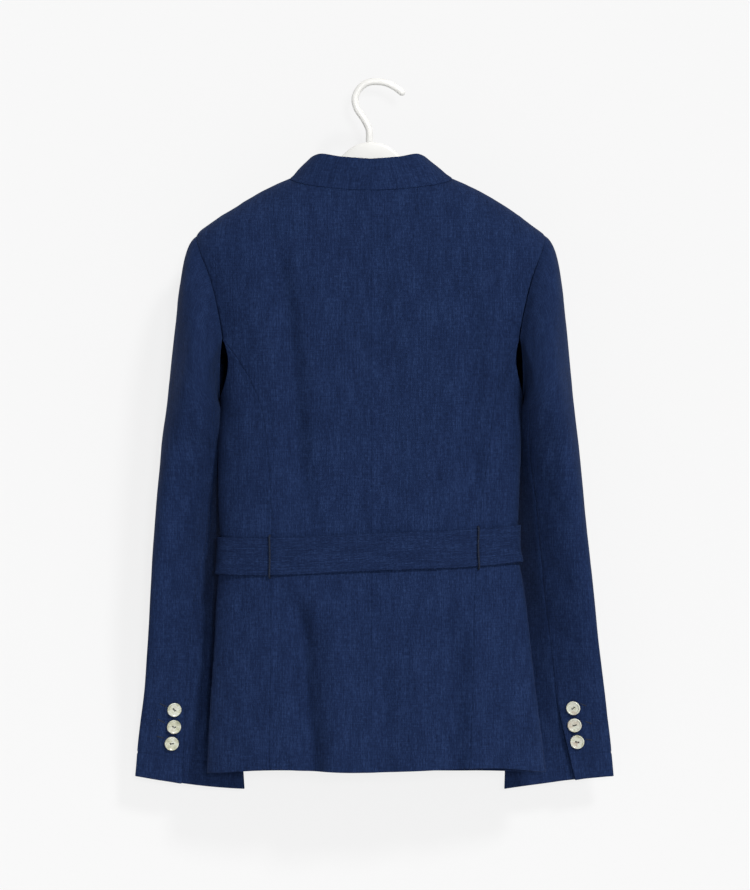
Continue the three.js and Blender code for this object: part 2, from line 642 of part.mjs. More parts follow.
function sleevePoint(side, column, z) {
  const angle = columnAngle(side, column, z);
  const { halfWidth, middle } = sleeveSize(side, z);
  const thin = 1 - (sleeve.pinch(z) * (1 - Math.cos(angle))) / 2;
  const sag = CUFF_SAG[sideName[side]] * Math.sin(angle) ** 2;
  return new THREE.Vector3(
    side * (middle + halfWidth * Math.cos(angle)),
    sleeve.y(z) + sleeve.depth(z) * thin * Math.sin(angle) + sleeve.lean(z) * Math.cos(angle),
    z + sleeve.drop(z) * (Math.cos(angle) / 2 - sag),
  );
}

function armholePoint(side, column) {
  const isBack = column <= HALF_RING;
  const z = armholeHeights[isBack ? column : 2 * HALF_RING - column];
  return bodyPoint(side * armholeQ(side, isBack, z), z);
}

// How a cap leaves the armhole: along the shoulder at the top, out and back or forward at the sides
function capRows(side, column) {
  const start = armholePoint(side, column);
  const end = sleevePoint(side, column, SLEEVE[0].z);
  const below = sleevePoint(side, column, SLEEVE_ROWS[0]);
  const share = column / HALF_RING;
  const top = Math.cos((share * Math.PI) / 2) ** 2;
  const facing = Math.sin(share * Math.PI);
  const sideways = side * (CAP.out - CAP.outLoss * Math.abs(facing));
  const leave = new THREE.Vector3(sideways, CAP.facing * facing, CAP.down).normalize();
  const reach = end.distanceTo(start) * CAP_SHARE[sideName[side]];
  const first = start.clone().addScaledVector(leave, Math.min(CAP.runMost, CAP.run + CAP.runShare * reach));
  const arrive = end.clone().sub(below).normalize();
  const last = end.clone().addScaledVector(arrive, reach * (CAP.rise + CAP.riseTop * top));
  const curve = new THREE.CubicBezierCurve3(start.addScaledVector(leave, CAP.gap), first, last, end);
  const points = [];
  for (let i = 0; i <= CAP_ROWS; i += 1) points.push(curve.getPoint((i / CAP_ROWS) ** CAP.spread));
  return points;
}

function sleeveGrids(side) {
  const columns = 2 * HALF_RING;
  const caps = [];
  for (let c = 0; c < columns; c += 1) caps.push(capRows(side, c));
  const grid = [];
  for (let i = 0; i <= CAP_ROWS; i += 1) grid.push(caps.map((cap) => cap[i].clone()));
  for (const z of SLEEVE_ROWS) {
    grid.push(caps.map((_, c) => sleevePoint(side, c, z)));
  }
  const centres = grid.map((row) => {
    const sum = row.reduce((total, p) => total.add(p), new THREE.Vector3());
    return sum.multiplyScalar(1 / columns);
  });
  const normals = gridNormals(grid, true, (p, r) => p.clone().sub(centres[r]));
  return { outer: grid, inner: inwards(grid, normals, WALL) };
}

const sleeves = { 1: sleeveGrids(1), "-1": sleeveGrids(-1) };
for (const side of [1, -1]) {
  const { outer, inner } = sleeves[side];
  const ring = 2 * HALF_RING;
  const pick = (grid, from, count) =>
    grid.map((row) => Array.from({ length: count + 1 }, (_, i) => row[(from + i + ring) % ring].clone()));
  const topCount = 2 * SEAM_COLUMN;
  const underCount = ring - topCount;
  const top = [pick(outer, -SEAM_COLUMN, topCount), pick(inner, -SEAM_COLUMN, topCount)];
  const under = [pick(outer, SEAM_COLUMN, underCount), pick(inner, SEAM_COLUMN, underCount)];
  add(`top_sleeve_${sideName[side]}`, wall(...top, HALF_SEAM), LINEN);
  add(`under_sleeve_${sideName[side]}`, wall(...under, HALF_SEAM), LINEN);
}

// Belt, round the body from one side of the knot to the other
const beltZ = { 1: track(BELT, "q", "left"), "-1": track(BELT, "q", "right") };
const beltClear = track(BELT, "q", "clear");
const BELT_COLUMNS = 76;

function beltBand(u, z, clear) {
  return bodyPoint(u, z).addScaledVector(bodyNormal(u, z), clear);
}

const BELT_FRONT_Z = beltZ[1](2);
const knotQ = 2 - (KNOT.halfWidth + KNOT.gap) / quarterLength(1, false, BELT_FRONT_Z);
const beltOuter = [];
const beltInner = [];
for (const height of [0.5, 0, -0.5]) {
  const outerRow = [];
  const innerRow = [];
  for (let i = 0; i <= BELT_COLUMNS; i += 1) {
    const u = -knotQ + (2 * knotQ * i) / BELT_COLUMNS;
    const q = Math.abs(u);
    const z = beltZ[u < 0 ? -1 : 1](q) + height * BELT_WIDTH;
    outerRow.push(beltBand(u, z, beltClear(q) + BELT_WALL));
    innerRow.push(beltBand(u, z, beltClear(q)));
  }
  beltOuter.push(outerRow);
  beltInner.push(innerRow);
}
add("belt", wall(beltOuter, beltInner), LINEN);

// The knot, a rounded lump at the centre front, and the belt's two ends under it
const knotSeat = bodyPoint(2, BELT_FRONT_Z).y - LAP_LIFT - KNOT.gap;
const knot = new THREE.SphereGeometry(1, 16, 10);
knot.scale(KNOT.halfWidth, KNOT.thickness / 2, KNOT.halfHeight);
add("belt_knot", knot, LINEN).position.set(0, knotSeat - KNOT.thickness / 2, BELT_FRONT_Z);

const TAIL_ROWS = 8;
const TAIL_COLUMNS = 4;
const TAIL_SPREAD = 0.38; // share of its length over which an end reaches its full width
const TAIL_SETTLE = 0.5; // share of its length over which it comes down to the cloth
const UNDER_KNOT = { share: 0.92, gap: 0.8 }; // the end's top edge follows the knot's underside
for (const side of [1, -1]) {
  const outer = [];
  const inner = [];
  for (let r = 0; r <= TAIL_ROWS; r += 1) {
    const down = r / TAIL_ROWS;
    const spread = smooth(down / TAIL_SPREAD);
    const halfWidth = TAIL.topHalf + (BELT_WIDTH / 2 - TAIL.topHalf) * spread;
    const middle = side * (TAIL.topX + (TAIL.lowX - TAIL.topX) * spread);
    const outerRow = [];
    const innerRow = [];
    for (let c = 0; c <= TAIL_COLUMNS; c += 1) {
      const x = middle + halfWidth * (-1 + (2 * c) / TAIL_COLUMNS);
      const arc = Math.sqrt(Math.max(0, UNDER_KNOT.share - (x / KNOT.halfWidth) ** 2));
      const underKnot = KNOT.halfHeight * arc + UNDER_KNOT.gap;
      const z = BELT_FRONT_Z - underKnot * (1 - down) - down * (TAIL.length + KNOT.halfHeight);
      const u = side * (2 - (side * x) / quarterLength(side, false, z));
      const normal = bodyNormal(u, z);
      const settled = smooth(down / TAIL_SETTLE);
      const clear = LAP_LIFT + TAIL.topClear + (TAIL.lowClear - TAIL.topClear) * settled;
      outerRow.push(bodyPoint(u, z).addScaledVector(normal, clear + BELT_WALL));
      innerRow.push(bodyPoint(u, z).addScaledVector(normal, clear));
    }
    outer.push(outerRow);
    inner.push(innerRow);
  }
  add(`belt_tail_${sideName[side]}`, wall(outer, inner), LINEN);
}

// Thread loops that hold the belt at the princess seams
const LOOP_WIDTH = 2.2;
const LOOP_WALL = 1;
const LOOP_Q = 0.6; // about where round the body they are
const LOOP_STEPS = [
  { up: 0.5, over: 3, out: 0.5 },
  { up: 0.5, over: 1.6, out: 2.2 },
  { up: 0.5, over: 0.4, out: 4 },
  { up: 0, over: 0, out: 4.4 },
  { up: -0.5, over: -0.4, out: 4 },
  { up: -0.5, over: -1.6, out: 2.2 },
  { up: -0.5, over: -3, out: 0.5 },
];
for (const side of [1, -1]) {
  const outer = [];
  const inner = [];
  for (const step of LOOP_STEPS) {
    const outerRow = [];
    const innerRow = [];
    for (const edge of [-0.5, 0.5]) {
      const q = princessQ(side, beltZ[side](LOOP_Q));
      const z = beltZ[side](q) + step.up * BELT_WIDTH + step.over;
      const u = side * (q + (edge * LOOP_WIDTH) / quarterLength(side, true, z));
      const normal = bodyNormal(u, z);
      outerRow.push(bodyPoint(u, z).addScaledVector(normal, step.out + LOOP_WALL));
      innerRow.push(bodyPoint(u, z).addScaledVector(normal, step.out));
    }
    outer.push(outerRow);
    inner.push(innerRow);
  }
  add(`belt_loop_${sideName[side]}`, wall(outer, inner), LINEN);
}

// A pearl button: a dished disc with a rounded rim, its back at the origin and its axis along +Y. out is a
// share of its radius and up of its thickness.
const BUTTON_PROFILE = [
  { out: 0, up: 0 },
  { out: 0.86, up: 0 },
  { out: 1, up: 0.45 },
  { out: 0.93, up: 1 },
  { out: 0.72, up: 0.72 },
  { out: 0, up: 0.66 },
];
const BUTTON_SIDES = 18;
function buttonGeometry({ radius, thickness }) {
  const profile = BUTTON_PROFILE.map(({ out, up }) => new THREE.Vector2(radius * out, thickness * up));
  return new THREE.LatheGeometry(profile, BUTTON_SIDES);
}

function placeButton(name, size, seat, normal) {
  const button = add(name, buttonGeometry(size), PEARL);
  button.position.copy(seat).addScaledVector(normal, BUTTON_SHANK);
  button.quaternion.setFromUnitVectors(new THREE.Vector3(0, 1, 0), normal);
}

// The place and the normal of the sleeve's facet that is furthest back at a place across and a height
const BEHIND = 400; // a y well behind the sleeves
function sleeveSeat(side, x, z) {
  const { outer } = sleeves[side];
  const ray = new THREE.Ray(new THREE.Vector3(side * x, BEHIND, z), new THREE.Vector3(0, -1, 0));
  let best = null;
  for (let r = CAP_ROWS; r < outer.length - 1; r += 1) {
    for (let c = 0; c < HALF_RING; c += 1) {
      const [a, b, d, e] = [outer[r][c], outer[r][c + 1], outer[r + 1][c + 1], outer[r + 1][c]];
      for (const [p1, p2, p3] of [[a, b, d], [a, d, e]]) {
        const hit = ray.intersectTriangle(p1, p2, p3, false, new THREE.Vector3());
        if (hit && (!best || hit.y > best.point.y)) {
          const normal = p2.clone().sub(p1).cross(p3.clone().sub(p1)).normalize();
          best = { point: hit.clone(), normal: normal.y < 0 ? normal.negate() : normal };
        }
      }
    }
  }
  return best;
}

for (const side of [1, -1]) {
  CUFF_BUTTONS.forEach((row, i) => {
    const { point, normal } = sleeveSeat(side, row[sideName[side]], row.z);
    placeButton(`cuff_button_${sideName[side]}_${i + 1}`, CUFF_BUTTON, point, normal);
  });
}
FRONT_BUTTONS.forEach((z, i) => {
  const normal = bodyNormal(2, z);
  const seat = bodyPoint(2, z).addScaledVector(normal, LAP_LIFT);
  placeButton(`front_button_${i + 1}`, FRONT_BUTTON, seat, normal);
});

// Hanger: arms that follow the shoulder line just inside the cloth, cut from one flat outline
const ridgeX = track(BODY.filter(({ z }) => z >= SHOULDER_Z), "z", "right");
function hangerOutline() {
  const top = HANGER_DOME.map(({ x, z }) => new THREE.Vector2(x, z));
  for (const z of [NECK_POINT_Z, ...SHOULDER_ROWS, HANGER_LAST_Z]) {
    const isOnArm = ridgeX(z) < HANGER_END - HANGER_TIP.lowIn;
    if (isOnArm) top.push(new THREE.Vector2(ridgeX(z), z - HANGER_DROP));
  }
  const endTop = top[top.length - 1];
  const tip = [
    new THREE.Vector2(HANGER_END, endTop.y - (HANGER_END - endTop.x) * HANGER_TIP.slope),
    new THREE.Vector2(HANGER_END + 1, endTop.y - HANGER_TIP.outDrop),
    new THREE.Vector2(HANGER_END - HANGER_TIP.lowIn, endTop.y - HANGER_TIP.lowDrop),
  ];
  const low = [...top]
    .reverse()
    .filter((p) => p.x < HANGER_END - HANGER_NECK.lastX)
    .map((p) => {
      const extra = p.x < HANGER_NECK.reach ? HANGER_NECK.extra : 0;
      return new THREE.Vector2(Math.max(0, p.x - HANGER_NECK.in), p.y - HANGER_HEIGHT - extra);
    });
  const half = [...top, ...tip, ...low];
  const other = half.filter((p) => p.x > 0).map((p) => new THREE.Vector2(-p.x, p.y)).reverse();
  return new THREE.Shape([...half, ...other]);
}
const hangerBody = new THREE.ExtrudeGeometry(hangerOutline(), {
  depth: HANGER_THICKNESS - 2 * HANGER_BEVEL,
  bevelEnabled: true,
  bevelThickness: HANGER_BEVEL,
  bevelSize: HANGER_BEVEL,
  bevelOffset: -HANGER_BEVEL,
  bevelSegments: 2,
});
hangerBody.rotateX(Math.PI / 2);
hangerBody.translate(0, HANGER_THICKNESS / 2 - HANGER_BEVEL, 0);
add("hanger", hangerBody, PLASTIC);

// Hook: a round rod along its centre line, out of the top of the hanger
const HOOK_SIDES = 12;
const HOOK_STEPS = 36;
const hookPoints = HOOK.map(({ x, z }) => new THREE.Vector3(x, 0, z));
const hookLine = new THREE.CatmullRomCurve3(hookPoints, false, "centripetal");
const rod = new THREE.Shape();
for (let i = 0; i < HOOK_SIDES; i += 1) {
  const angle = (i / HOOK_SIDES) * 2 * Math.PI;
  const [x, y] = [HOOK_RADIUS * Math.cos(angle), HOOK_RADIUS * Math.sin(angle)];
  if (i === 0) rod.moveTo(x, y);
  else rod.lineTo(x, y);
}
const along = { steps: HOOK_STEPS, extrudePath: hookLine, bevelEnabled: false };
const hook = new THREE.ExtrudeGeometry(rod, along);
add("hanger_hook", hook, PLASTIC);

export default garment;
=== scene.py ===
# A linen blazer with a stand collar and a tied belt, on a plastic hanger, seen from its back.
# The tables are in millimetres in the model's frame: +Z is up, the fronts face -Y, +X is the wearer's left.
import math

import bmesh
import bpy
import numpy as np
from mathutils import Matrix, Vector


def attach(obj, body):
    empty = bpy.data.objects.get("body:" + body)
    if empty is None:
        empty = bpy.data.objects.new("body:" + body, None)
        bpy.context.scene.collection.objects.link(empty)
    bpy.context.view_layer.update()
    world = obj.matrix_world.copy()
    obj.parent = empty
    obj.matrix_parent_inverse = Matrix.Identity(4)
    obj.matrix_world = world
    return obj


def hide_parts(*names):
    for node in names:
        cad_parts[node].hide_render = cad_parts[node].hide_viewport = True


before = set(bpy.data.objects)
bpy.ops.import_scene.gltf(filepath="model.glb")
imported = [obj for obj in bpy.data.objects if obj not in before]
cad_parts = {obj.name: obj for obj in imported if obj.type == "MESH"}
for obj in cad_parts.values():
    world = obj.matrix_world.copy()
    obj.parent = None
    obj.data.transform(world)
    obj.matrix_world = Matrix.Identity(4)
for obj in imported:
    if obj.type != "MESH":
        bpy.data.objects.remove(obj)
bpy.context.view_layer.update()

MM = 0.001
WALL = 1.8
BACK_NECK_Z = -116.4
NECK_POINT_Z = -102
SHOULDER_Z = -166
PRINCESS_Z = -280
UNDERARM_Z = -346
HEM_Z = -754
HEM_WAVE_Z = -690
FRONT_NECK_Z = -173
LAP = 15
LAP_LIFT = WALL + 0.5
LAP_START_Q = 1.78
LAP_RISE_Q = 0.1
BELT_WIDTH = 41
BELT_WALL = 2
CUFF_BUTTON = {"radius": 7.85, "thickness": 2.4}
FRONT_BUTTON = {"radius": 10, "thickness": 2.8}
HANGER_THICKNESS = 11
HOOK_RADIUS = 3.5
SPACING = 2.5  # between the points of the cloth
SIDES = {1: "left", -1: "right"}


def table(columns, *rows):
    """Named columns of a table, as arrays."""
    return dict(zip(columns.split(), np.array(rows, float).T))


# Sections of the body: half widths, depths from the side edge's y, and the exponent of the superellipse
BODY = table(
    "z left right back front mid square",
    (-102, 87, 87, 30, 30, 0, 2.0),
    (-115, 116, 116, 37, 40, 0, 2.1),
    (-137, 153, 153, 45, 51, 0, 2.3),
    (-159, 185, 183, 51, 57, 0, 2.6),
    (-166, 191.5, 191.5, 53, 59, 0, 2.7),
    (-182, 195, 196, 56, 61, 0, 3.0),
    (-209, 191, 192, 59, 62, 0, 3.2),
    (-240, 186, 187, 61, 63, 0, 3.2),
    (-280, 178, 179, 62, 64, 0, 3.1),
    (-346, 166.5, 167, 61, 63, 0, 2.8),
    (-379, 168, 166, 56, 63, 3, 2.6),
    (-456, 168, 162.5, 48, 64, 8, 2.4),
    (-511, 165.5, 161.5, 44, 64, 10, 2.3),
    (-566, 169.5, 170, 43, 64, 11, 2.2),
    (-621, 172.5, 176, 42, 62, 11, 2.1),
    (-676, 176, 182, 41, 60, 11, 2.0),
    (-758, 181, 193.5, 41, 57, 9, 2.0),
)
# Half width of the armhole seam, and of the princess seams
ARMHOLE = table(
    "z back front",
    (-166, 191.5, 191.5),
    (-172, 191, 190.5),
    (-182, 188.5, 186),
    (-209, 178, 173),
    (-240, 169.5, 163),
    (-280, 162.5, 157),
    (-310, 162, 158),
    (-335, 164, 163.5),
    (-346, 166.5, 166.5),
)
PRINCESS = table(
    "z left right",
    (-280, 162.5, 162.5),
    (-303, 146, 149),
    (-325, 133, 141),
    (-354, 121, 135),
    (-400, 114, 129),
    (-456, 110, 121),
    (-540, 110, 114.5),
    (-680, 111, 110.5),
    (-760, 112, 107),
)
FRONT_NECK = table(
    "q z",
    (1, -102),
    (1.25, -105.5),
    (1.45, -116),
    (1.6, -131),
    (1.75, -150),
    (1.88, -166),
    (2, FRONT_NECK_Z),
)
COLLAR_TOP = table(
    "q left right y z",
    (0, 0, 0, 32, -81.5),
    (0.35, 33, 31, 29.5, -79),
    (0.62, 57, 52, 17, -75.6),
    (1, 69, 64, -12, -85),
    (1.4, 60, 59, -39, -106),
    (1.7, 37, 36, -57, -127),
    (2, 2, 2, -65, -139),
)
HEM = table(
    "q left right",
    (0, -0.7, -0.7),
    (0.14, -0.8, 0.2),
    (0.42, 1.4, 2.4),
    (0.57, 2.5, 3.6),
    (0.72, 0.5, 3.5),
    (1, -2.2, -1),
    (1.5, -1, -1),
    (2, -2.5, -2.5),
)
# Largest folds, as in the model: a trough, or a ridge where depth is below 0
BACK_FOLDS = table(
    "top mid low x1 x2 x3 width depth",
    (-150, -350, -482, 104, 84, 74, 13, 9),
    (-200, -340, -482, -134, -136, -130, 15, -5),
    (-190, -320, -482, -106, -112, -112, 13, 4),
    (-200, -270, -340, -2, -4, -2, 14, 2),
    (-545, -625, -760, 84, 73, 64, 11.5, 12),
    (-560, -676, -760, 40, 38, 38, 14, -5),
    (-610, -690, -760, -12, -14, -15, 12, 4.5),
    (-560, -660, -760, -52, -52, -52, 13, -3.5),
    (-555, -650, -760, -86, -88, -92, 14, 6.5),
    (-560, -650, -760, -118, -117, -118, 14, -4.5),
)
FRONT_FOLDS = table(
    "top mid low x1 x2 x3 width depth",
    (-180, -330, -480, 120, 104, 92, 24, 4),
    (-190, -340, -480, -124, -108, -90, 24, 4),
    (-550, -650, -760, 92, 86, 80, 20, 7),
    (-550, -650, -760, -84, -90, -97, 20, 7),
)
# Edges of the sleeves, and the seams on their backs, as half widths from the body's middle
SLEEVE_EDGES = table(
    "z outer_left outer_right inner_left inner_right",
    (-356, 225.5, 224, 163.5, 163.5),
    (-401, 231, 229, 161, 160),
    (-456, 236, 234.3, 160, 156.5),
    (-511, 240, 240, 162, 158),
    (-566, 243, 245.7, 158, 158),
    (-621, 246.5, 251.3, 151, 154),
    (-676, 250.8, 258, 146, 151),
    (-731, 257, 264.3, 142.5, 148.5),
    (-768.5, 260.5, 268, 140, 147),
)
SLEEVE = table(
    "z y depth lean pinch drop",
    (-356, -1, 63.5, 1, 0.1, 0),
    (-378, -4, 61, 5, 0.2, 0),
    (-401, -10, 56, 11, 0.35, 0),
    (-456, -18, 46, 20, 0.5, 0),
    (-511, -22, 39, 25, 0.5, 0),
    (-566, -25, 31, 27, 0.45, 0),
    (-621, -29, 23, 23, 0.35, 2),
    (-676, -34, 17, 16, 0.2, 6),
    (-731, -39, 11.5, 9, 0.1, 12),
    (-768.5, -41.5, 8.5, 5, 0, 14.4),
)
CUFF_SAG = {1: 0.14, -1: -0.08}
SLEEVE_SEAMS = table(
    "z left right front",
    (-356, 173, 173, 142),
    (-401, 174, 173.5, 138),
    (-456, 176.5, 181, 136),
    (-500, 180.5, 185, 134),
    (-530, 187.5, 188, 133),
    (-566, 193.5, 191.5, 132),
    (-621, 200, 198, 130),
    (-676, 204.5, 205, 128),
    (-731, 207.5, 217, 127),
    (-768.5, 209.5, 225.5, 126),
)
SLEEVE_TOP_Z = -356
SLEEVE_NEXT_Z = -378
CUFF_Z = -768.5
BELT = table(
    "q left right clear",
    (0, -513, -513, 0.9),
    (0.6, -518, -509, 0.9),
    (1, -517, -504, 1.7),
    (1.4, -514, -508, 2.2),
    (2, -512, -512, 3),
)
KNOT = {"half_width": 16, "half_height": 19, "thickness": 15, "gap": 0.5}
HOOK = [
    (1.8, -62), (2.2, -49), (8.2, -36.5), (15.2, -26), (17.6, -15), (13, -4),
    (5, 2.3), (-4, 4), (-15.4, 2.8), (-26.4, -2.2), (-36.3, -9.7),
]


def smooth(t):
    t = np.clip(t, 0, 1)
    return t * t * (3 - 2 * t)


def track(rows, key, column):
    """A smooth curve through one column of a table, over its key column."""
    order = np.argsort(rows[key])
    x = rows[key][order]
    y = rows[column][order]
    slope = np.gradient(y)
    slope[1:-1] = (y[2:] - y[:-2]) / (x[2:] - x[:-2])
    slope[0] = (y[1] - y[0]) / (x[1] - x[0])
    slope[-1] = (y[-1] - y[-2]) / (x[-1] - x[-2])

    def at(value):
        t = np.clip(value, x[0], x[-1])
        i = np.clip(np.searchsorted(x, t, side="right") - 1, 0, len(x) - 2)
        h = x[i + 1] - x[i]
        u = (t - x[i]) / h
        start = y[i] * (1 + 2 * u) * (1 - u) ** 2 + slope[i] * h * u * (1 - u) ** 2
        return start + y[i + 1] * u * u * (3 - 2 * u) - slope[i + 1] * h * u * u * (1 - u)

    return at


body = {name: track(BODY, "z", name) for name in BODY if name != "z"}

# The body's section at even steps of height and of distance, for its four quarters: left back, right back,
# left front and right front
HEIGHTS = np.arange(-775.0, -94.0)
SHARES = 240


def quarter_grid(side, is_back):
    width = body[SIDES[side]](HEIGHTS)[:, None]
    depth = body["back" if is_back else "front"](HEIGHTS)[:, None]
    power = 2 / body["square"](HEIGHTS)[:, None]
    angle = np.linspace(0, math.pi / 2, 2 * SHARES + 1)[None]
    x = side * width * np.sin(angle) ** power
    y = body["mid"](HEIGHTS)[:, None] + (1 if is_back else -1) * depth * np.clip(np.cos(angle), 0, 1) ** power
    run = np.cumsum(np.hypot(np.diff(x, axis=1), np.diff(y, axis=1)), axis=1)
    run = np.concatenate([np.zeros((len(HEIGHTS), 1)), run], axis=1)
    even = np.linspace(0, 1, SHARES + 1)
    out_x = np.array([np.interp(even, r / r[-1], row) for r, row in zip(run, x)])
    out_y = np.array([np.interp(even, r / r[-1], row) for r, row in zip(run, y)])
    return out_x, out_y, run[:, -1]


QUARTERS = [quarter_grid(1, True), quarter_grid(-1, True), quarter_grid(1, False), quarter_grid(-1, False)]
QUARTER_X = np.array([q[0] for q in QUARTERS])
QUARTER_Y = np.array([q[1] for q in QUARTERS])
QUARTER_LENGTH = np.array([q[2] for q in QUARTERS])


def quarter_index(side, is_back):
    return (0 if side > 0 else 1) + (0 if is_back else 2)


def quarter_length(side, is_back, z):
    return np.interp(z, HEIGHTS, QUARTER_LENGTH[quarter_index(side, is_back)])


def fold_depth(folds, x, z):
    depth = np.zeros_like(x)
    for i in range(len(folds["top"])):
        top, mid, low, x1, x2, x3, width, deep = (folds[name][i] for name in folds)
        down = (z - top) / (low - top)
        bend = (mid - top) / (low - top)
        centre = x1 + (x2 - x1) * smooth(down / bend) + (x3 - x2) * smooth((down - bend) / (1 - bend))
        end = 1 if low < HEM_WAVE_Z else smooth((1 - down) / 0.25)
        depth += deep * smooth(down / 0.25) * end * np.exp(-(((x - centre) / width) ** 2))
    return depth


def body_point(u, z):
    """Points of the outer face: u is 0 at the centre back, 1 at the left side, 2 at the centre front."""
    u, z = np.broadcast_arrays(np.asarray(u, float), np.asarray(z, float))
    turned = np.where(u > 2, u - 4, np.where(u < -2, u + 4, u))
    q = np.abs(turned)
    is_back = q <= 1
    which = np.where(turned < 0, 1, 0) + np.where(is_back, 0, 2)
    row = np.clip(z - HEIGHTS[0], 0, len(HEIGHTS) - 1.001)
    column = np.clip(np.where(is_back, q, 2 - q), 0, 1) * (SHARES - 1e-6)
    r, c = row.astype(int), column.astype(int)
    fr, fc = row - r, column - c

    def mix(grid):
        a = grid[which, r, c] * (1 - fc) + grid[which, r, c + 1] * fc
        b = grid[which, r + 1, c] * (1 - fc) + grid[which, r + 1, c + 1] * fc
        return a * (1 - fr) + b * fr

    x, y = mix(QUARTER_X), mix(QUARTER_Y)
    depth = np.where(is_back, body["back"](z), body["front"](z))
    facing = smooth(np.abs(y - body["mid"](z)) / depth * 1.4)
    fold = np.where(is_back, -fold_depth(BACK_FOLDS, x, z), fold_depth(FRONT_FOLDS, x, z)) * facing
    return np.stack([x, y + fold, z], axis=-1)


def unit(v):
    return v / np.maximum(np.linalg.norm(v, axis=-1, keepdims=True), 1e-9)


def body_normal(u, z):
    du = body_point(u + 0.012, z) - body_point(u - 0.012, z)
    dz = body_point(u, z + 2) - body_point(u, z - 2)
    return unit(np.cross(dz, du))


def q_at_width(side, is_back, z, half_width):
    """The q at which the body reaches a half width, for each height."""
    grid = np.abs(QUARTER_X[quarter_index(side, is_back)])
    even = np.linspace(0, 1, SHARES + 1)
    found = []
    for height, wide in zip(z, half_width):
        row = min(max(height - HEIGHTS[0], 0), len(HEIGHTS) - 1.001)
        r = int(row)
        line = grid[r] * (1 - row + r) + grid[r + 1] * (row - r)
        found.append(np.interp(wide, line, even) if wide < line[-1] else 1.0)
    q = np.array(found)
    return q if is_back else 2 - q


armhole_width = {"back": track(ARMHOLE, "z", "back"), "front": track(ARMHOLE, "z", "front")}
princess_width = {1: track(PRINCESS, "z", "left"), -1: track(PRINCESS, "z", "right")}
SEAM_Z = np.arange(-770.0, -98.0, 0.5)


def as_curve(values):
    """A function of height through values at SEAM_Z."""
    return lambda z: np.interp(z, SEAM_Z, values)


def armhole_values(side, is_back):
    values = q_at_width(side, is_back, SEAM_Z, armhole_width["back" if is_back else "front"](SEAM_Z))
    if is_back:
        start = princess_q[side](PRINCESS_Z)
        drop = np.clip((PRINCESS_Z - SEAM_Z) / (PRINCESS_Z - UNDERARM_Z), 0, 1)
        under = start + (1 - start) * 2 / math.pi * np.arcsin(drop)
        values = np.where(SEAM_Z < PRINCESS_Z, under, values)
    return np.where((SEAM_Z >= SHOULDER_Z) | (SEAM_Z <= UNDERARM_Z), 1, values)


princess_q = {}
for side in SIDES:
    heights = np.minimum(SEAM_Z, PRINCESS_Z)
    princess_q[side] = as_curve(q_at_width(side, True, heights, princess_width[side](SEAM_Z)))
armhole_q = {}
for side in SIDES:
    for is_back in (True, False):
        armhole_q[side, is_back] = as_curve(armhole_values(side, is_back))


def back_neck_z(q):
    return BACK_NECK_Z + (NECK_POINT_Z - BACK_NECK_Z) * np.clip(q, 0, 1) ** 1.6


front_neck = track(FRONT_NECK, "q", "z")


def front_neck_z(q):
    return front_neck(np.minimum(q, 2))


hem_wave = {side: track(HEM, "q", SIDES[side]) for side in SIDES}


def hem_shift(side, q, z):
    """How far the cloth lies below or above its plain height."""
    return hem_wave[side](q) * np.clip((HEM_WAVE_Z - z) / (HEM_WAVE_Z - HEM_Z), 0, 1)


FRONT_END_Q = 2 + LAP / float(quarter_length(1, False, FRONT_NECK_Z))
belt_z = {1: track(BELT, "q", "left"), -1: track(BELT, "q", "right")}
belt_clear = track(BELT, "q", "clear")
BELT_FRONT_Z = -512


def dense(keys, spacing=SPACING):
    """Values from the first key to the last, with every key, no further apart than the spacing."""
    out = [float(keys[0])]
    for a, b in zip(keys[:-1], keys[1:]):
        count = max(1, int(math.ceil(abs(b - a) / spacing)))
        out.extend(a + (b - a) * (i + 1) / count for i in range(count))
    return np.array(out)


class Waves:
    """Smooth noise in two directions, the same in each run."""

    def __init__(self, seed):
        self.grid = np.random.default_rng(seed).uniform(-1, 1, (64, 64))

    def __call__(self, x, y):
        i, j = np.floor(x).astype(int), np.floor(y).astype(int)
        fx, fy = smooth(x - i), smooth(y - j)
        g = self.grid
        low = g[i % 64, j % 64] * (1 - fx) + g[(i + 1) % 64, j % 64] * fx
        high = g[i % 64, (j + 1) % 64] * (1 - fx) + g[(i + 1) % 64, (j + 1) % 64] * fx
        return low * (1 - fy) + high * fy


# Creases, each a soft trough, or a ridge where depth is below 0, from one place to another
CREASE = "x1 z1 x2 z2 width depth"
BACK_CREASES = table(
    CREASE,
    (120, -452, 110, -490, 6, 1.5),
    (-139, -462, -133, -490, 6, 1.4),
    (-68, -470, -70, -492, 7, 1.2),
    (40, -430, 32, -490, 10, 1.0),
    (-12, -225, -9, -330, 9, 1.1),
    (150, -300, 118, -380, 8, 1.2),
    (-158, -300, -126, -400, 9, 1.2),
    (98, -545, 104, -640, 7, 1.4),
    (-108, -545, -100, -650, 8, 1.4),
    (140, -545, 146, -620, 9, 1.2),
    (-146, -545, -150, -640, 10, 1.3),
    (30, -130, 34, -200, 12, 0.8),
    (-36, -132, -40, -210, 12, 0.8),
    (5, -545, 3, -600, 8, 0.8),
)
FRONT_CREASES = table(
    CREASE,
    (132, -250, 110, -330, 9, 1.3),
    (-136, -246, -116, -330, 9, 1.3),
    (60, -440, 52, -490, 8, 1.4),
    (-62, -436, -50, -488, 8, 1.4),
    (118, -440, 104, -490, 7, 1.3),
    (-122, -436, -108, -490, 7, 1.3),
    (36, -545, 42, -640, 9, 1.3),
    (-34, -548, -40, -650, 9, 1.3),
)


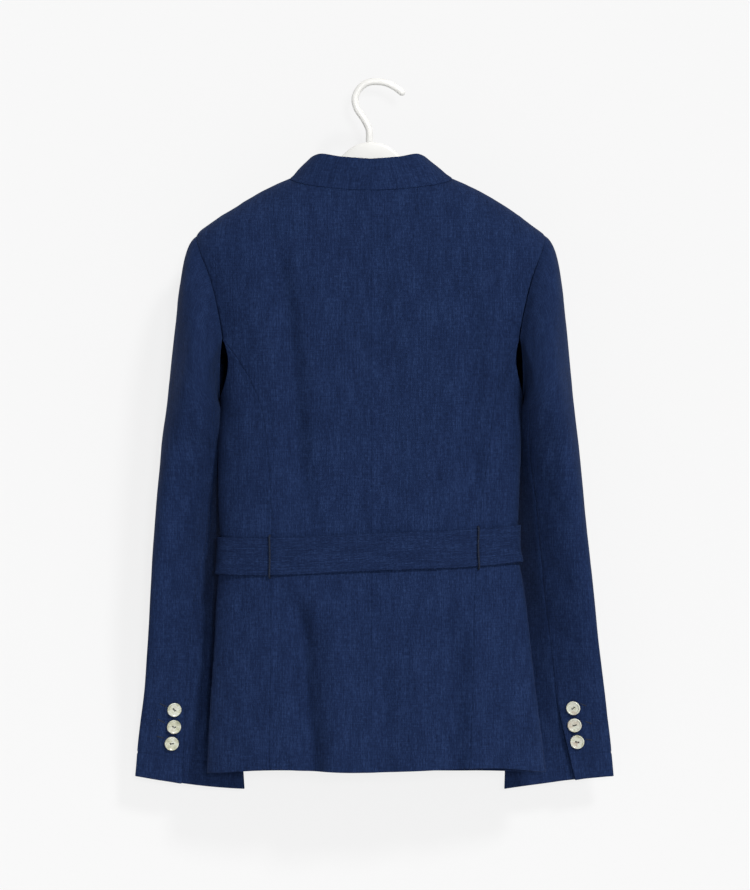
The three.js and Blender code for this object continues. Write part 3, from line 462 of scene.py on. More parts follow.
def crease_depth(creases, x, z):
    total = np.zeros_like(x)
    for i in range(len(creases["x1"])):
        x1, z1, x2, z2, width, deep = (creases[name][i] for name in creases)
        length = math.hypot(x2 - x1, z2 - z1)
        ax, az = (x2 - x1) / length, (z2 - z1) / length
        along = ((x - x1) * ax + (z - z1) * az) / length
        off = (x - x1) * az - (z - z1) * ax
        bend = 0.03 * length * np.sin(np.pi * along)
        fade = smooth((along + 0.15) / 0.4) * smooth((1.15 - along) / 0.4)
        total += deep * fade * np.exp(-(((off - bend) / width) ** 2))
    return total


wide_waves = Waves(3)
near_waves = Waves(7)
pucker_waves = Waves(11)
# How uneven each cloth is: the depth, width and height of its wide waves and of its near ones
UNEVEN = {
    "body": ((0.55, 34, 75), (0.22, 13, 34)),
    "collar": ((0.5, 26, 30), (0.25, 11, 16)),
    "sleeve": ((0.5, 30, 60), (0.2, 12, 30)),
}
BELT_PRESS = {"reach": 24, "flat": 0.9, "depth": 0.5}
NECK_FLAT = {"start": 8, "run": 40, "least": 0.25}


def uneven(kind, across, down, shift):
    (wide, wide_x, wide_z), (near, near_x, near_z) = UNEVEN[kind]
    slow = wide * wide_waves(across / wide_x + shift[0], down / wide_z + shift[1])
    return slow + near * near_waves(across / near_x, down / near_z)


def pucker(distance, along, amount=0.28):
    """Small ripples across a seam, strongest at its edge."""
    ripple = pucker_waves(along / 5.2, distance / 30 + 7)
    return amount * ripple * np.exp(-((distance / 9) ** 2))


RIDGE = {"height": 0.35, "from_seam": 2.6, "width": 1.7}


def seam_ridge(distance):
    """The raised line beside a seam, where its turnings lie under the cloth."""
    return RIDGE["height"] * np.exp(-(((distance - RIDGE["from_seam"]) / RIDGE["width"]) ** 2))


def body_relief(u, z, point, side):
    """How far the body's cloth stands off its plain form, in mm."""
    q = np.abs(u)
    x = point[..., 0]
    is_back = q <= 1
    back = crease_depth(BACK_CREASES, x, z)
    front = crease_depth(FRONT_CREASES, x, z)
    relief = -np.where(is_back, back, front)
    relief = relief + uneven("body", x, z, (20 * (q > 1), 0))
    near_belt = np.exp(-(((z - belt_z[side](q)) / BELT_PRESS["reach"]) ** 4))
    below_neck = smooth((NECK_POINT_Z - NECK_FLAT["start"] - z) / NECK_FLAT["run"])
    relief = relief * (1 - BELT_PRESS["flat"] * near_belt)
    relief = relief * (NECK_FLAT["least"] + (1 - NECK_FLAT["least"]) * below_neck)
    return relief - BELT_PRESS["depth"] * near_belt


# Makes a closed thin shell from an outer and an inner grid of points
def closed_wall(outer, inner):
    rows, columns = outer.shape[:2]
    points = np.concatenate([outer.reshape(-1, 3), inner.reshape(-1, 3)])
    at = np.arange(rows * columns).reshape(rows, columns)
    under = at + rows * columns

    def quads(a, b, c, d):
        return np.stack([a, b, c, d], axis=-1).reshape(-1, 4)

    faces = [
        quads(at[:-1, :-1], at[1:, :-1], at[1:, 1:], at[:-1, 1:]),
        quads(under[:-1, :-1], under[:-1, 1:], under[1:, 1:], under[1:, :-1]),
        quads(at[:-1, 0], under[:-1, 0], under[1:, 0], at[1:, 0]),
        quads(at[:-1, -1], at[1:, -1], under[1:, -1], under[:-1, -1]),
        quads(at[0, :-1], at[0, 1:], under[0, 1:], under[0, :-1]),
        quads(at[-1, :-1], under[-1, :-1], under[-1, 1:], at[-1, 1:]),
    ]
    return points, np.concatenate(faces)


# Turns of a rim's section from its face to its end
RIM_TURNS = np.radians((0, 35, 70))


def round_edge(outer, inner, grain, rim):
    """Rounds the last row of a wall. The rim is half as wide as its roll, and ends past the plain edge."""
    roll, past = rim
    middle = (outer[-1] + inner[-1]) / 2
    half = (outer[-1] - inner[-1]) / 2
    away = unit(outer[-1] - outer[-2])
    middle = middle + away * (past - roll * math.sin(RIM_TURNS[-1]))
    new_outer = [middle + half * math.cos(a) + away * roll * math.sin(a) for a in RIM_TURNS]
    new_inner = [middle - half * math.cos(a) + away * roll * math.sin(a) for a in RIM_TURNS]
    out = np.concatenate([outer[:-1], new_outer])
    into = np.concatenate([inner[:-1], new_inner])
    return out, into, np.concatenate([grain[:-1], [grain[-1]] * len(RIM_TURNS)])


# How the grids are turned so that an edge is the last row, and back
TURNS = {
    "bottom": lambda g: g,
    "top": lambda g: g[::-1],
    "last": lambda g: g.transpose(1, 0, 2),
    "first": lambda g: g[:, ::-1].transpose(1, 0, 2),
}
BACKS = {
    "bottom": lambda g: g,
    "top": lambda g: g[::-1],
    "last": lambda g: g.transpose(1, 0, 2),
    "first": lambda g: g.transpose(1, 0, 2)[:, ::-1],
}


def shell(outer, inner, grain, rims):
    """A closed wall with a rim, of a roll and a reach past the plain edge, along each edge that is named."""
    for edge, rim in rims.items():
        grids = round_edge(*(TURNS[edge](g) for g in (outer, inner, grain)), rim)
        outer, inner, grain = (BACKS[edge](g) for g in grids)
    points, faces = closed_wall(outer, inner)
    return points, faces, np.concatenate([grain.reshape(-1, grain.shape[-1])] * 2)


def cut_size(grid):
    """The width, length and area in metres of the cloth that a grid was cut from."""
    across = np.linalg.norm(np.diff(grid, axis=1)[..., :2], axis=-1)
    down = np.linalg.norm(np.diff(grid, axis=0)[..., 1:], axis=-1)
    wide, long = np.diff(grid, axis=1)[:-1], np.diff(grid, axis=0)[:, :-1]
    area = np.linalg.norm(np.cross(wide, long), axis=-1).sum()
    width, length = across.sum(axis=1).max(), down.sum(axis=0).max()
    return width * MM, length * MM, min(area, width * length) * MM * MM


def state_sheet(obj, grid):
    """Says how large the piece's cloth was cut, in whole millimetres."""
    width, length, area = cut_size(grid)
    flat = (round(width, 3), round(length, 3))
    area = min(round(area, 4), flat[0] * flat[1])
    print("cut", obj.name, flat, round(area, 4))


def add_object(name, data):
    obj = bpy.data.objects.new(name, data)
    bpy.context.scene.collection.objects.link(obj)
    return obj


def smooth_object(name, mesh, grain=None):
    """An object with smooth faces, and each point's place in the cloth where that is given."""
    mesh.polygons.foreach_set("use_smooth", np.ones(len(mesh.polygons), bool))
    if grain is not None:
        layer = mesh.attributes.new("grain", "FLOAT_VECTOR", "POINT")
        layer.data.foreach_set("vector", grain.astype(np.float32).ravel())
    return add_object(name, mesh)


def make_mesh(name, points, faces, grain):
    """A mesh object in metres from points in mm and four-sided faces, that face outwards."""
    triangles = np.concatenate([faces[:, (0, 1, 2)], faces[:, (0, 2, 3)]])
    a, b, c = (points[triangles[:, i]] for i in range(3))
    if np.einsum("ij,ij->", a, np.cross(b, c)) < 0:
        faces = faces[:, ::-1]
    mesh = bpy.data.meshes.new(name)
    mesh.vertices.add(len(points))
    mesh.vertices.foreach_set("co", (points * MM).ravel())
    mesh.loops.add(faces.size)
    mesh.loops.foreach_set("vertex_index", faces.ravel().astype(np.int32))
    mesh.polygons.add(len(faces))
    mesh.polygons.foreach_set("loop_start", np.arange(0, faces.size, 4, dtype=np.int32))
    mesh.update(calc_edges=True)
    mesh.validate()
    return smooth_object(name, mesh, grain)


def finish_piece(obj, material, slot, *nodes):
    """Gives a piece its material and hides the nodes that it stands for. The slot is not used."""
    obj.data.materials.clear()
    obj.data.materials.append(material)
    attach(obj, "root")
    if nodes:
        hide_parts(*nodes)
    return obj


# Materials
def new_material(name):
    material = bpy.data.materials.new(name)
    material.use_nodes = True
    tree = material.node_tree
    shader = tree.nodes["Principled BSDF"]
    return material, tree, shader


def add_node(tree, kind, **settings):
    node = tree.nodes.new(kind)
    for key, value in settings.items():
        setattr(node, key, value)
    return node


def set_inputs(node, **values):
    for key, value in values.items():
        node.inputs[key.replace("_", " ")].default_value = value
    return node


def scaled_vector(tree, source, scale):
    node = add_node(tree, "ShaderNodeVectorMath", operation="MULTIPLY")
    tree.links.new(source, node.inputs[0])
    node.inputs[1].default_value = scale
    return node.outputs["Vector"]


def noise(tree, source, scale, detail=2.0, roughness=0.5):
    node = add_node(tree, "ShaderNodeTexNoise", noise_dimensions="3D")
    tree.links.new(scaled_vector(tree, source, scale), node.inputs["Vector"])
    set_inputs(node, Scale=1.0, Detail=detail, Roughness=roughness)
    return node.outputs["Fac"]


def math_node(tree, operation, a, b, clamp=False):
    node = add_node(tree, "ShaderNodeMath", operation=operation, use_clamp=clamp)
    for socket, value in zip(node.inputs, (a, b)):
        if isinstance(value, (int, float)):
            socket.default_value = value
        else:
            tree.links.new(value, socket)
    return node.outputs["Value"]


def ramp(tree, source, stops):
    node = add_node(tree, "ShaderNodeValToRGB")
    tree.links.new(source, node.inputs["Fac"])
    elements = node.color_ramp.elements
    while len(elements) < len(stops):
        elements.new(0.5)
    for element, (position, colour) in zip(elements, stops):
        element.position = position
        element.color = (*colour, 1)
    return node.outputs["Color"]


def weighted_sum(tree, *parts):
    """The sum of sockets, each times its weight."""
    total = None
    for source, weight in parts:
        part = math_node(tree, "MULTIPLY", source, weight)
        total = part if total is None else math_node(tree, "ADD", total, part)
    return total


def vary_roughness(tree, shader, source, amount, least):
    rough = math_node(tree, "MULTIPLY_ADD", source, amount)
    rough.node.inputs[2].default_value = least
    tree.links.new(rough, shader.inputs["Roughness"])


def add_bump(tree, shader, height, strength, distance):
    bump = add_node(tree, "ShaderNodeBump")
    set_inputs(bump, Strength=strength, Distance=distance)
    tree.links.new(height, bump.inputs["Height"])
    tree.links.new(bump.outputs["Normal"], shader.inputs["Normal"])


def linen(name, dark, middle, light, turned=False):
    """Plain-woven linen with long pale slubs along its warp and fainter ones across."""
    material, tree, shader = new_material(name)
    attribute = add_node(tree, "ShaderNodeAttribute", attribute_name="grain")
    grain = attribute.outputs["Vector"]

    def along(across, down, depth=0.0):
        return (down, across, depth) if turned else (across, down, depth)

    long_slubs = noise(tree, grain, along(640, 34), 3.0, 0.6)
    short_slubs = noise(tree, grain, along(980, 230), 3.0, 0.65)
    weft_slubs = noise(tree, grain, along(90, 760), 2.0, 0.55)
    patches = noise(tree, grain, along(70, 26), 4.0, 0.65)
    mix = weighted_sum(tree, (long_slubs, 0.26), (short_slubs, 0.4), (weft_slubs, 0.16), (patches, 0.18))
    colour = ramp(tree, mix, [(0.36, dark), (0.5, middle), (0.64, light)])
    tree.links.new(colour, shader.inputs["Base Color"])
    vary_roughness(tree, shader, short_slubs, 0.12, 0.8)
    set_inputs(shader, Specular_IOR_Level=0.06, Sheen_Weight=0.03, Sheen_Roughness=0.5)
    shader.inputs["Sheen Tint"].default_value = (0.25, 0.4, 0.8, 1)

    # Threads over and under each other, about 0.5 mm apart
    warp = add_node(tree, "ShaderNodeTexWave", wave_type="BANDS", bands_direction="X", wave_profile="SIN")
    weft = add_node(tree, "ShaderNodeTexWave", wave_type="BANDS", bands_direction="Y", wave_profile="SIN")
    for wave in (warp, weft):
        tree.links.new(grain, wave.inputs["Vector"])
        set_inputs(wave, Scale=560.0, Distortion=1.2, Detail=1.0, Detail_Scale=0.6)
    threads = math_node(tree, "MULTIPLY", warp.outputs["Fac"], weft.outputs["Fac"])
    height = weighted_sum(tree, (threads, 0.5), (long_slubs, 1.2), (short_slubs, 0.9), (weft_slubs, 0.8))
    add_bump(tree, shader, height, 0.5, 0.0004)
    return material


def thread_material(name, dark, light):
    material, tree, shader = new_material(name)
    coordinates = add_node(tree, "ShaderNodeTexCoord")
    twist = noise(tree, coordinates.outputs["Object"], (900, 900, 1500), 2.0)
    tree.links.new(ramp(tree, twist, [(0.35, dark), (0.65, light)]), shader.inputs["Base Color"])
    set_inputs(shader, Roughness=0.7, Specular_IOR_Level=0.2)
    add_bump(tree, shader, twist, 0.4, 0.0002)
    return material


PEARL_BANDS = [
    (0.3, (0.31, 0.32, 0.23)),
    (0.45, (0.46, 0.46, 0.34)),
    (0.55, (0.56, 0.58, 0.5)),
    (0.7, (0.43, 0.37, 0.29)),
]


def pearl_material():
    """Shell with soft bands of cream, grey, green and rose."""
    material, tree, shader = new_material("pearl")
    coordinates = add_node(tree, "ShaderNodeTexCoord")
    place = coordinates.outputs["Object"]
    clouds = noise(tree, place, (95, 95, 110), 3.0, 0.6)
    tree.links.new(ramp(tree, clouds, PEARL_BANDS), shader.inputs["Base Color"])
    fine = noise(tree, place, (700, 260, 700), 2.0)
    vary_roughness(tree, shader, fine, 0.18, 0.2)
    set_inputs(shader, Specular_IOR_Level=0.55, Coat_Weight=0.4, Coat_Roughness=0.15)
    add_bump(tree, shader, clouds, 0.15, 0.0003)
    return material


def plastic_material():
    """White moulded plastic with a faint grain."""
    material, tree, shader = new_material("hanger_plastic")
    coordinates = add_node(tree, "ShaderNodeTexCoord")
    place = coordinates.outputs["Object"]
    cloud = noise(tree, place, (30, 30, 30), 2.0)
    colour = ramp(tree, cloud, [(0.3, (0.72, 0.715, 0.69)), (0.7, (0.78, 0.775, 0.75))])
    tree.links.new(colour, shader.inputs["Base Color"])
    grain = noise(tree, place, (1400, 1400, 1400), 2.0)
    vary_roughness(tree, shader, grain, 0.15, 0.35)
    add_bump(tree, shader, grain, 0.1, 0.0001)
    return material


DARK = (0.0036, 0.0084, 0.029)
MIDDLE = (0.0078, 0.0175, 0.057)
LIGHT = (0.0185, 0.0378, 0.106)
linen_cloth = linen("linen", DARK, MIDDLE, LIGHT)
belt_cloth = linen("belt_linen", DARK, tuple(0.9 * c for c in MIDDLE), LIGHT, turned=True)
tail_cloth = linen("tail_linen", DARK, MIDDLE, LIGHT)
thread = thread_material("thread", (0.003, 0.005, 0.012), (0.012, 0.02, 0.045))
button_thread = thread_material("button_thread", (0.02, 0.018, 0.02), (0.09, 0.08, 0.085))
pearl = pearl_material()
plastic = plastic_material()

# Cloth of the body
SEAM_RIM = (0.8, 0.2)
NECK_RIM = (1.3, 0.2)
FOLD_RIM = (0.9, 0)
RIMS = {"seam": SEAM_RIM, "neck seam": NECK_RIM, "fold": FOLD_RIM}


def body_cloth(node, side, start, end, top_z, rows, columns, lift, kinds):
    """A panel of the body between two seams, as in the model but finer, with its relief."""
    down = ((rows - rows[0]) / (rows[-1] - rows[0]))[:, None]
    across = np.linspace(0, 1, columns + 1)[None]
    z = top_z(across) + (HEM_Z - top_z(across)) * down
    q = start(z) + (end(z) - start(z)) * across
    z = z + hem_shift(side, q, z)
    u = side * q
    plain = body_point(u, z)
    normal = body_normal(u, z)
    from_first = (q - start(z)) * quarter_length(side, True, z)
    from_last = (end(z) - q) * quarter_length(side, True, z)
    relief = body_relief(u, z, plain, side)
    for edge, distance, shift in (("first", from_first, 0), ("last", from_last, 300)):
        if kinds[edge] == "seam":
            relief = relief + pucker(distance, z + shift) + seam_ridge(distance)
    outer = plain + normal * (relief + lift(q, z))[..., None]
    inner = outer - normal * WALL
    arc = side * np.where(q <= 1, q, 1) * quarter_length(side, True, z)
    arc = arc + side * np.where(q > 1, q - 1, 0) * quarter_length(side, False, z)
    grain = np.stack([arc * MM, z * MM, np.zeros_like(z)], axis=-1)
    points, faces, grain = shell(outer, inner, grain, {edge: RIMS[kind] for edge, kind in kinds.items()})
    obj = make_mesh(f"{node}_cloth", points, faces, grain)
    finish_piece(obj, linen_cloth, "linen", node)
    state_sheet(obj, plain)


def edges(first, last, top, bottom):
    """Says what each edge of a panel is."""
    return {"first": first, "last": last, "top": top, "bottom": bottom}


def no_lift(q, z):
    return np.zeros_like(z)


def lap_lift(q, z):
    return LAP_LIFT * smooth((q - LAP_START_Q) / LAP_RISE_Q)


def back_end(side):
    return lambda z: np.where(z >= PRINCESS_Z, armhole_q[side, True](z), princess_q[side](z))


def underarm_z(share):
    """Height of the armhole, from the princess seam to the underarm."""
    return PRINCESS_Z - (PRINCESS_Z - UNDERARM_Z) * np.sin(share * math.pi / 2)


PANEL_COLUMNS = {"back": 84, "side_back": 32, "front": 76}
for side in SIDES:
    word = SIDES[side]
    body_cloth(
        f"back_{word}",
        side,
        lambda z: np.zeros_like(z),
        back_end(side),
        back_neck_z,
        dense([NECK_POINT_Z, SHOULDER_Z, PRINCESS_Z, HEM_Z]),
        PANEL_COLUMNS["back"],
        no_lift,
        edges("seam", "seam", "neck seam", "fold"),
    )
    body_cloth(
        f"side_back_{word}",
        side,
        princess_q[side],
        lambda z: np.ones_like(z),
        underarm_z,
        dense([PRINCESS_Z, HEM_Z]),
        PANEL_COLUMNS["side_back"],
        no_lift,
        edges("seam", "seam", "seam", "fold"),
    )
    body_cloth(
        f"front_{word}",
        side,
        armhole_q[side, False],
        lambda z: np.full_like(z, FRONT_END_Q),
        lambda across: front_neck_z(1 + (FRONT_END_Q - 1) * across),
        dense([NECK_POINT_Z, SHOULDER_Z, PRINCESS_Z, UNDERARM_Z, HEM_Z], 3),
        PANEL_COLUMNS["front"],
        lap_lift if side < 0 else no_lift,
        edges("seam", "fold", "neck seam", "fold"),
    )

# Stand collar
collar_top = {name: track(COLLAR_TOP, "q", name) for name in ("left", "right", "y", "z")}
COLLAR_END_Q = 1 + (FRONT_END_Q - 1) * 10 / 11
COLLAR_OUT = 2
NECK_OVERHANG = 0.9
COLLAR_ARC = 88  # from the centre back to the shoulder
COLLAR_HEIGHT = 36
# Columns and rows of points
GRID = {"collar": (321, 17), "belt": (421, 19), "tail": (25, 81), "knot": (72, 61)}


def neck_point(u):
    q = np.abs(u)
    return body_point(u, np.where(q > 1, front_neck_z(q), back_neck_z(q)))


def grid_normals(grid, is_ring):
    if is_ring:
        across = np.roll(grid, -1, axis=1) - np.roll(grid, 1, axis=1)
    else:
        across = np.gradient(grid, axis=1)
    return unit(np.cross(across, np.gradient(grid, axis=0)))


def make_collar():
    columns, rows = GRID["collar"]
    u = np.linspace(COLLAR_END_Q, -COLLAR_END_Q, columns)[None]
    up = np.linspace(1, 0, rows)[:, None]
    q = np.abs(u)
    base = neck_point(u)
    top_x = np.where(u < 0, -collar_top["right"](q), collar_top["left"](q))
    top = np.stack([top_x, collar_top["y"](q), collar_top["z"](q)], axis=-1)
    out = unit(base * np.array([1, 1, 0]))
    bulge = COLLAR_OUT * np.sin(np.pi * up) * np.sqrt(up)
    grid = base + (top - base) * up[..., None] + out * bulge[..., None]
    normals = grid_normals(grid, False)
    if np.mean(np.einsum("rci,rci->rc", normals, grid * np.array([1, 1, 0]))) < 0:
        normals = -normals
    arc = u * COLLAR_ARC
    height = up * COLLAR_HEIGHT
    wave = uneven("collar", arc, height, (9, 3))
    wave = wave * np.sin(np.pi * np.clip(up, 0.02, 1)) ** 0.5
    wave = wave + pucker(height, arc, 0.25) + NECK_OVERHANG * np.exp(-((height / 6) ** 2))
    outer = grid + normals * wave[..., None]
    inner = outer - normals * WALL
    grain = np.stack(np.broadcast_arrays(arc * MM, height * MM, np.full_like(arc, 0.3)), axis=-1)
    rims = {"bottom": NECK_RIM, "top": FOLD_RIM, "first": FOLD_RIM, "last": FOLD_RIM}
    points, faces, grain = shell(outer, inner, grain, rims)
    obj = make_mesh("collar_cloth", points, faces, grain)
    finish_piece(obj, linen_cloth, "linen", "collar")
    state_sheet(obj, grid)


make_collar()

# Sleeves: columns run from the shoulder point down the back to the underarm and up the front
ARMHOLE_ROWS = [-166, -171, -182, -203, -228, -254, -280]
UNDERARM_COLUMNS = 4
armhole_heights = list(ARMHOLE_ROWS)
for i in range(1, UNDERARM_COLUMNS + 1):
    armhole_heights.append(underarm_z(i / UNDERARM_COLUMNS))
HALF_RING = len(armhole_heights) - 1
RING = 2 * HALF_RING
SEAM_COLUMN = HALF_RING - 3
# Pieces of a sleeve: the first column and how many
SLEEVE_PIECES = {"top": (-SEAM_COLUMN, 2 * SEAM_COLUMN), "under": (SEAM_COLUMN, RING - 2 * SEAM_COLUMN)}
sleeve = {name: track(SLEEVE, "z", name) for name in SLEEVE if name != "z"}
sleeve_edge = {name: track(SLEEVE_EDGES, "z", name) for name in SLEEVE_EDGES if name != "z"}
sleeve_seam = {name: track(SLEEVE_SEAMS, "z", name) for name in ("left", "right", "front")}
height_at_column = track(
    {"column": np.arange(HALF_RING + 1.0), "z": np.array(armhole_heights, float)}, "column", "z"
)
CAP = {"out": 0.87, "out_loss": 0.25, "facing": 0.55, "down": -0.5, "run": 4, "run_share": 0.13,
       "run_most": 24, "rise": 0.38, "rise_top": 0.25, "under": 1.2, "spread": 1.15}
CAP_SHARE = {1: 1, -1: 0.88}


def sleeve_size(side, z):
    outer, inner = sleeve_edge[f"outer_{SIDES[side]}"](z), sleeve_edge[f"inner_{SIDES[side]}"](z)
    return (outer - inner) / 2, (outer + inner) / 2


def column_angle(side, column, z):
    is_back = column <= HALF_RING
    k = np.where(is_back, column, RING - column)
    half_width, middle = sleeve_size(side, z)
    back_seam = np.degrees(np.arccos((sleeve_seam[SIDES[side]](z) - middle) / half_width))
    seam = np.where(is_back, back_seam, sleeve_seam["front"](z))
    past = seam + (180 - seam) * (k - SEAM_COLUMN) / (HALF_RING - SEAM_COLUMN)
    angle = np.where(k <= SEAM_COLUMN, seam * k / SEAM_COLUMN, past)
    return np.radians(np.where(is_back, angle, -angle))


def sleeve_point(side, column, z):
    column, z = np.broadcast_arrays(np.asarray(column, float), np.asarray(z, float))
    angle = column_angle(side, column, z)
    half_width, middle = sleeve_size(side, z)
    x = side * (middle + half_width * np.cos(angle))
    depth = sleeve["depth"](z) * (1 - sleeve["pinch"](z) * (1 - np.cos(angle)) / 2)
    y = sleeve["y"](z) + depth * np.sin(angle) + sleeve["lean"](z) * np.cos(angle)
    sag = CUFF_SAG[side] * np.sin(angle) ** 2
    return np.stack([x, y, z + sleeve["drop"](z) * (np.cos(angle) / 2 - sag)], axis=-1)


def armhole_point(side, column):
    is_back = column <= HALF_RING
    z = height_at_column(np.where(is_back, column, RING - column))
    q = np.where(is_back, armhole_q[side, True](z), armhole_q[side, False](z))
    return body_point(side * q, z)


def cap_points(side, column, t):
    """Points of a sleeve's cap, t from 0 at the armhole to 1 at the underarm's height."""
    start = armhole_point(side, column)
    end = sleeve_point(side, column, SLEEVE_TOP_Z)
    below = sleeve_point(side, column, SLEEVE_NEXT_Z)
    share = column / HALF_RING
    top = np.cos(share * math.pi / 2) ** 2
    facing = np.sin(share * math.pi)
    leave = np.stack([side * (CAP["out"] - CAP["out_loss"] * np.abs(facing)), CAP["facing"] * facing,
                      np.full_like(facing, CAP["down"])], axis=-1)
    leave = unit(leave)
    reach = np.linalg.norm(end - start, axis=-1) * CAP_SHARE[side]
    first = start + leave * np.minimum(CAP["run_most"], CAP["run"] + CAP["run_share"] * reach)[..., None]
    arrive = unit(end - below)
    last = end + arrive * (reach * (CAP["rise"] + CAP["rise_top"] * top))[..., None]
    tucked = np.minimum(1, 2 * np.sin(share * math.pi / 2) ** 2)
    start = start - leave * (CAP["under"] * tucked)[..., None]
    t = t[:, None, None]
    return (1 - t) ** 3 * start + 3 * t * (1 - t) ** 2 * first + 3 * t * t * (1 - t) * last + t**3 * end


# Creases of the sleeves on their backs and fronts, x without its sign
SLEEVE_CREASES = {
    (1, True): table(
        CREASE,
        (205, -260, 222, -350, 9, 1.6),
        (196, -300, 206, -420, 8, 1.4),
        (188, -420, 214, -470, 8, 1.5),
        (192, -500, 226, -540, 9, 1.6),
        (200, -560, 232, -580, 8, 1.2),
        (186, -600, 216, -640, 8, 1.0),
    ),
    (-1, True): table(
        CREASE,
        (206, -250, 220, -340, 9, 1.5),
        (194, -310, 204, -430, 8, 1.4),
        (190, -430, 216, -490, 9, 1.5),
        (190, -520, 228, -560, 9, 1.5),
        (196, -590, 230, -620, 8, 1.1),
    ),
    (1, False): table(CREASE, (190, -470, 224, -510, 9, 1.6), (192, -540, 226, -560, 9, 1.4)),
    (-1, False): table(CREASE, (190, -460, 224, -505, 9, 1.6), (190, -545, 228, -560, 9, 1.4)),
}
VENT_TOP_Z = -655
VENT_RUN = 70
VENT_LIFT = {1: 1.1, -1: 2.0}
VENT_DIP = {1: -2.6, -1: -4.0}
VENT_REACH = 7
# How far a sleeve dips below the body's edge at the armhole
ARMHOLE_DIP = table(
    "z left right",
    (-346, 0, 0),
    (-320, 0.3, 0.3),
    (-300, 1.0, 1.2),
    (-260, 1.2, 2.2),
    (-210, 0.3, 1.6),
    (-180, 0, 0.5),
    (-166, 0, 0),
)
DIP_REACH = 8
CUFF_STITCH = {"z": -741, "width": 1.3, "depth": 0.7}
PER_COLUMN = 6
CAP_ROWS = 45
COLUMN_WIDTH = 12
armhole_dip = {side: track(ARMHOLE_DIP, "z", SIDES[side]) for side in SIDES}


def sleeve_relief(side, grid, normals, columns, run, rows_z):
    """How far a sleeve's cloth stands off its plain form, in mm."""
    x, z = np.abs(grid[..., 0]), grid[..., 2]
    back = crease_depth(SLEEVE_CREASES[side, True], x, z) * smooth(normals[..., 1] * 2)
    front = crease_depth(SLEEVE_CREASES[side, False], x, z) * smooth(-normals[..., 1] * 2)
    waves = uneven("sleeve", run, z, (5 * side, 0))
    step = np.linalg.norm(np.diff(grid, axis=0), axis=-1)
    from_armhole = np.concatenate([np.zeros((1, grid.shape[1])), np.cumsum(step, axis=0)])
    relief = (waves - back - front) * (0.2 + 0.8 * smooth(from_armhole / 25))
    for seam in (SEAM_COLUMN, RING - SEAM_COLUMN):
        distance = np.abs(columns - seam) * COLUMN_WIDTH
        relief = relief + pucker(distance, z + 10 * seam) + seam_ridge(distance)
    height = height_at_column(np.minimum(columns, RING - columns))
    relief = relief - armhole_dip[side](height) * np.exp(-((from_armhole / DIP_REACH) ** 2))
    stitch = np.exp(-(((rows_z - CUFF_STITCH["z"]) / CUFF_STITCH["width"]) ** 2))
    return relief - CUFF_STITCH["depth"] * stitch


def make_sleeves(side):
    """Both pieces of a sleeve. Gives the points of its outer face, for what lies on it."""
    word = SIDES[side]
    columns = np.arange(RING * PER_COLUMN) / PER_COLUMN
    t = np.linspace(0, 1, CAP_ROWS)
    cap = cap_points(side, columns, t ** CAP["spread"])
    stitch_keys = [CUFF_STITCH["z"] + step for step in (2, 1, 0, -1, -2)]
    rows = dense([SLEEVE_TOP_Z, *stitch_keys, CUFF_Z])[1:]
    tube = sleeve_point(side, columns[None], rows[:, None])
    grid = np.concatenate([cap, tube])
    normals = grid_normals(grid, True)
    centre = grid.mean(axis=1, keepdims=True)
    if np.mean(np.einsum("rci,rci->rc", normals, grid - centre)) < 0:
        normals = -normals
    step = np.linalg.norm(np.roll(grid, -1, axis=1) - grid, axis=-1)
    run = np.cumsum(step, axis=1) - step
    rows_z = np.concatenate([SHOULDER_Z + (SLEEVE_TOP_Z - SHOULDER_Z) * t, rows])[:, None]
    relief = sleeve_relief(side, grid, normals, columns[None], run, rows_z)
    face = grid + normals * relief[..., None]
    vent = smooth((VENT_TOP_Z - grid[..., 2]) / VENT_RUN)
    down = np.broadcast_to(rows_z, run.shape)
    grain_all = np.stack([run * MM, down * MM, np.full_like(run, 0.7 * side)], axis=-1)
    for kind, (first, count) in SLEEVE_PIECES.items():
        steps = np.arange(count * PER_COLUMN + 1)
        pick = (first * PER_COLUMN + steps) % (RING * PER_COLUMN)
        seam_step = count * PER_COLUMN if kind == "top" else 0
        distance = np.abs(steps - seam_step)[None] * COLUMN_WIDTH / PER_COLUMN
        edge = np.exp(-((distance / VENT_REACH) ** 2)) * vent[:, pick]
        lift = (VENT_LIFT if kind == "top" else VENT_DIP)[side] * edge
        outer = face[:, pick] + normals[:, pick] * lift[..., None]
        inner = outer - normals[:, pick] * WALL
        grain = grain_all[:, pick].copy()
        if kind == "top":
            wrapped = np.arange(len(pick)) < SEAM_COLUMN * PER_COLUMN
            total = (run[:, -1] + step[:, -1])[:, None] * MM
            grain[..., 0] = grain[..., 0] - np.where(wrapped[None], total, 0)
        rims = {"first": SEAM_RIM, "last": SEAM_RIM, "top": SEAM_RIM, "bottom": FOLD_RIM}
        points, faces, grain = shell(outer, inner, grain, rims)
        obj = make_mesh(f"{kind}_sleeve_{word}_cloth", points, faces, grain)
        finish_piece(obj, linen_cloth, "linen", f"{kind}_sleeve_{word}")
        state_sheet(obj, grid[:, pick])
    return face, normals


sleeve_faces = {side: make_sleeves(side) for side in SIDES}

# Belt
KNOT_Q = 2 - (KNOT["half_width"] + KNOT["gap"]) / float(quarter_length(1, False, BELT_FRONT_Z))
LOOP_Q = {side: float(princess_q[side](belt_z[side](0.6))) for side in SIDES}


def belt_surface(u, height, clear):
    q = np.abs(u)
    z = np.where(u < 0, belt_z[-1](q), belt_z[1](q)) + height * BELT_WIDTH
    normal = body_normal(u, z)
    return body_point(u, z) + normal * clear[..., None], normal


BELT_ARC = 185  # from the centre back to a side, for the belt's relief
BELT_RIMS = dict.fromkeys(("bottom", "top", "first", "last"), (1.0, 0))


def belt_wave(arc, height):
    return 0.45 * wide_waves(arc / 38 + 30, height * 2.2 + 4) + 0.2 * near_waves(arc / 14 + 3, height * 3 + 8)


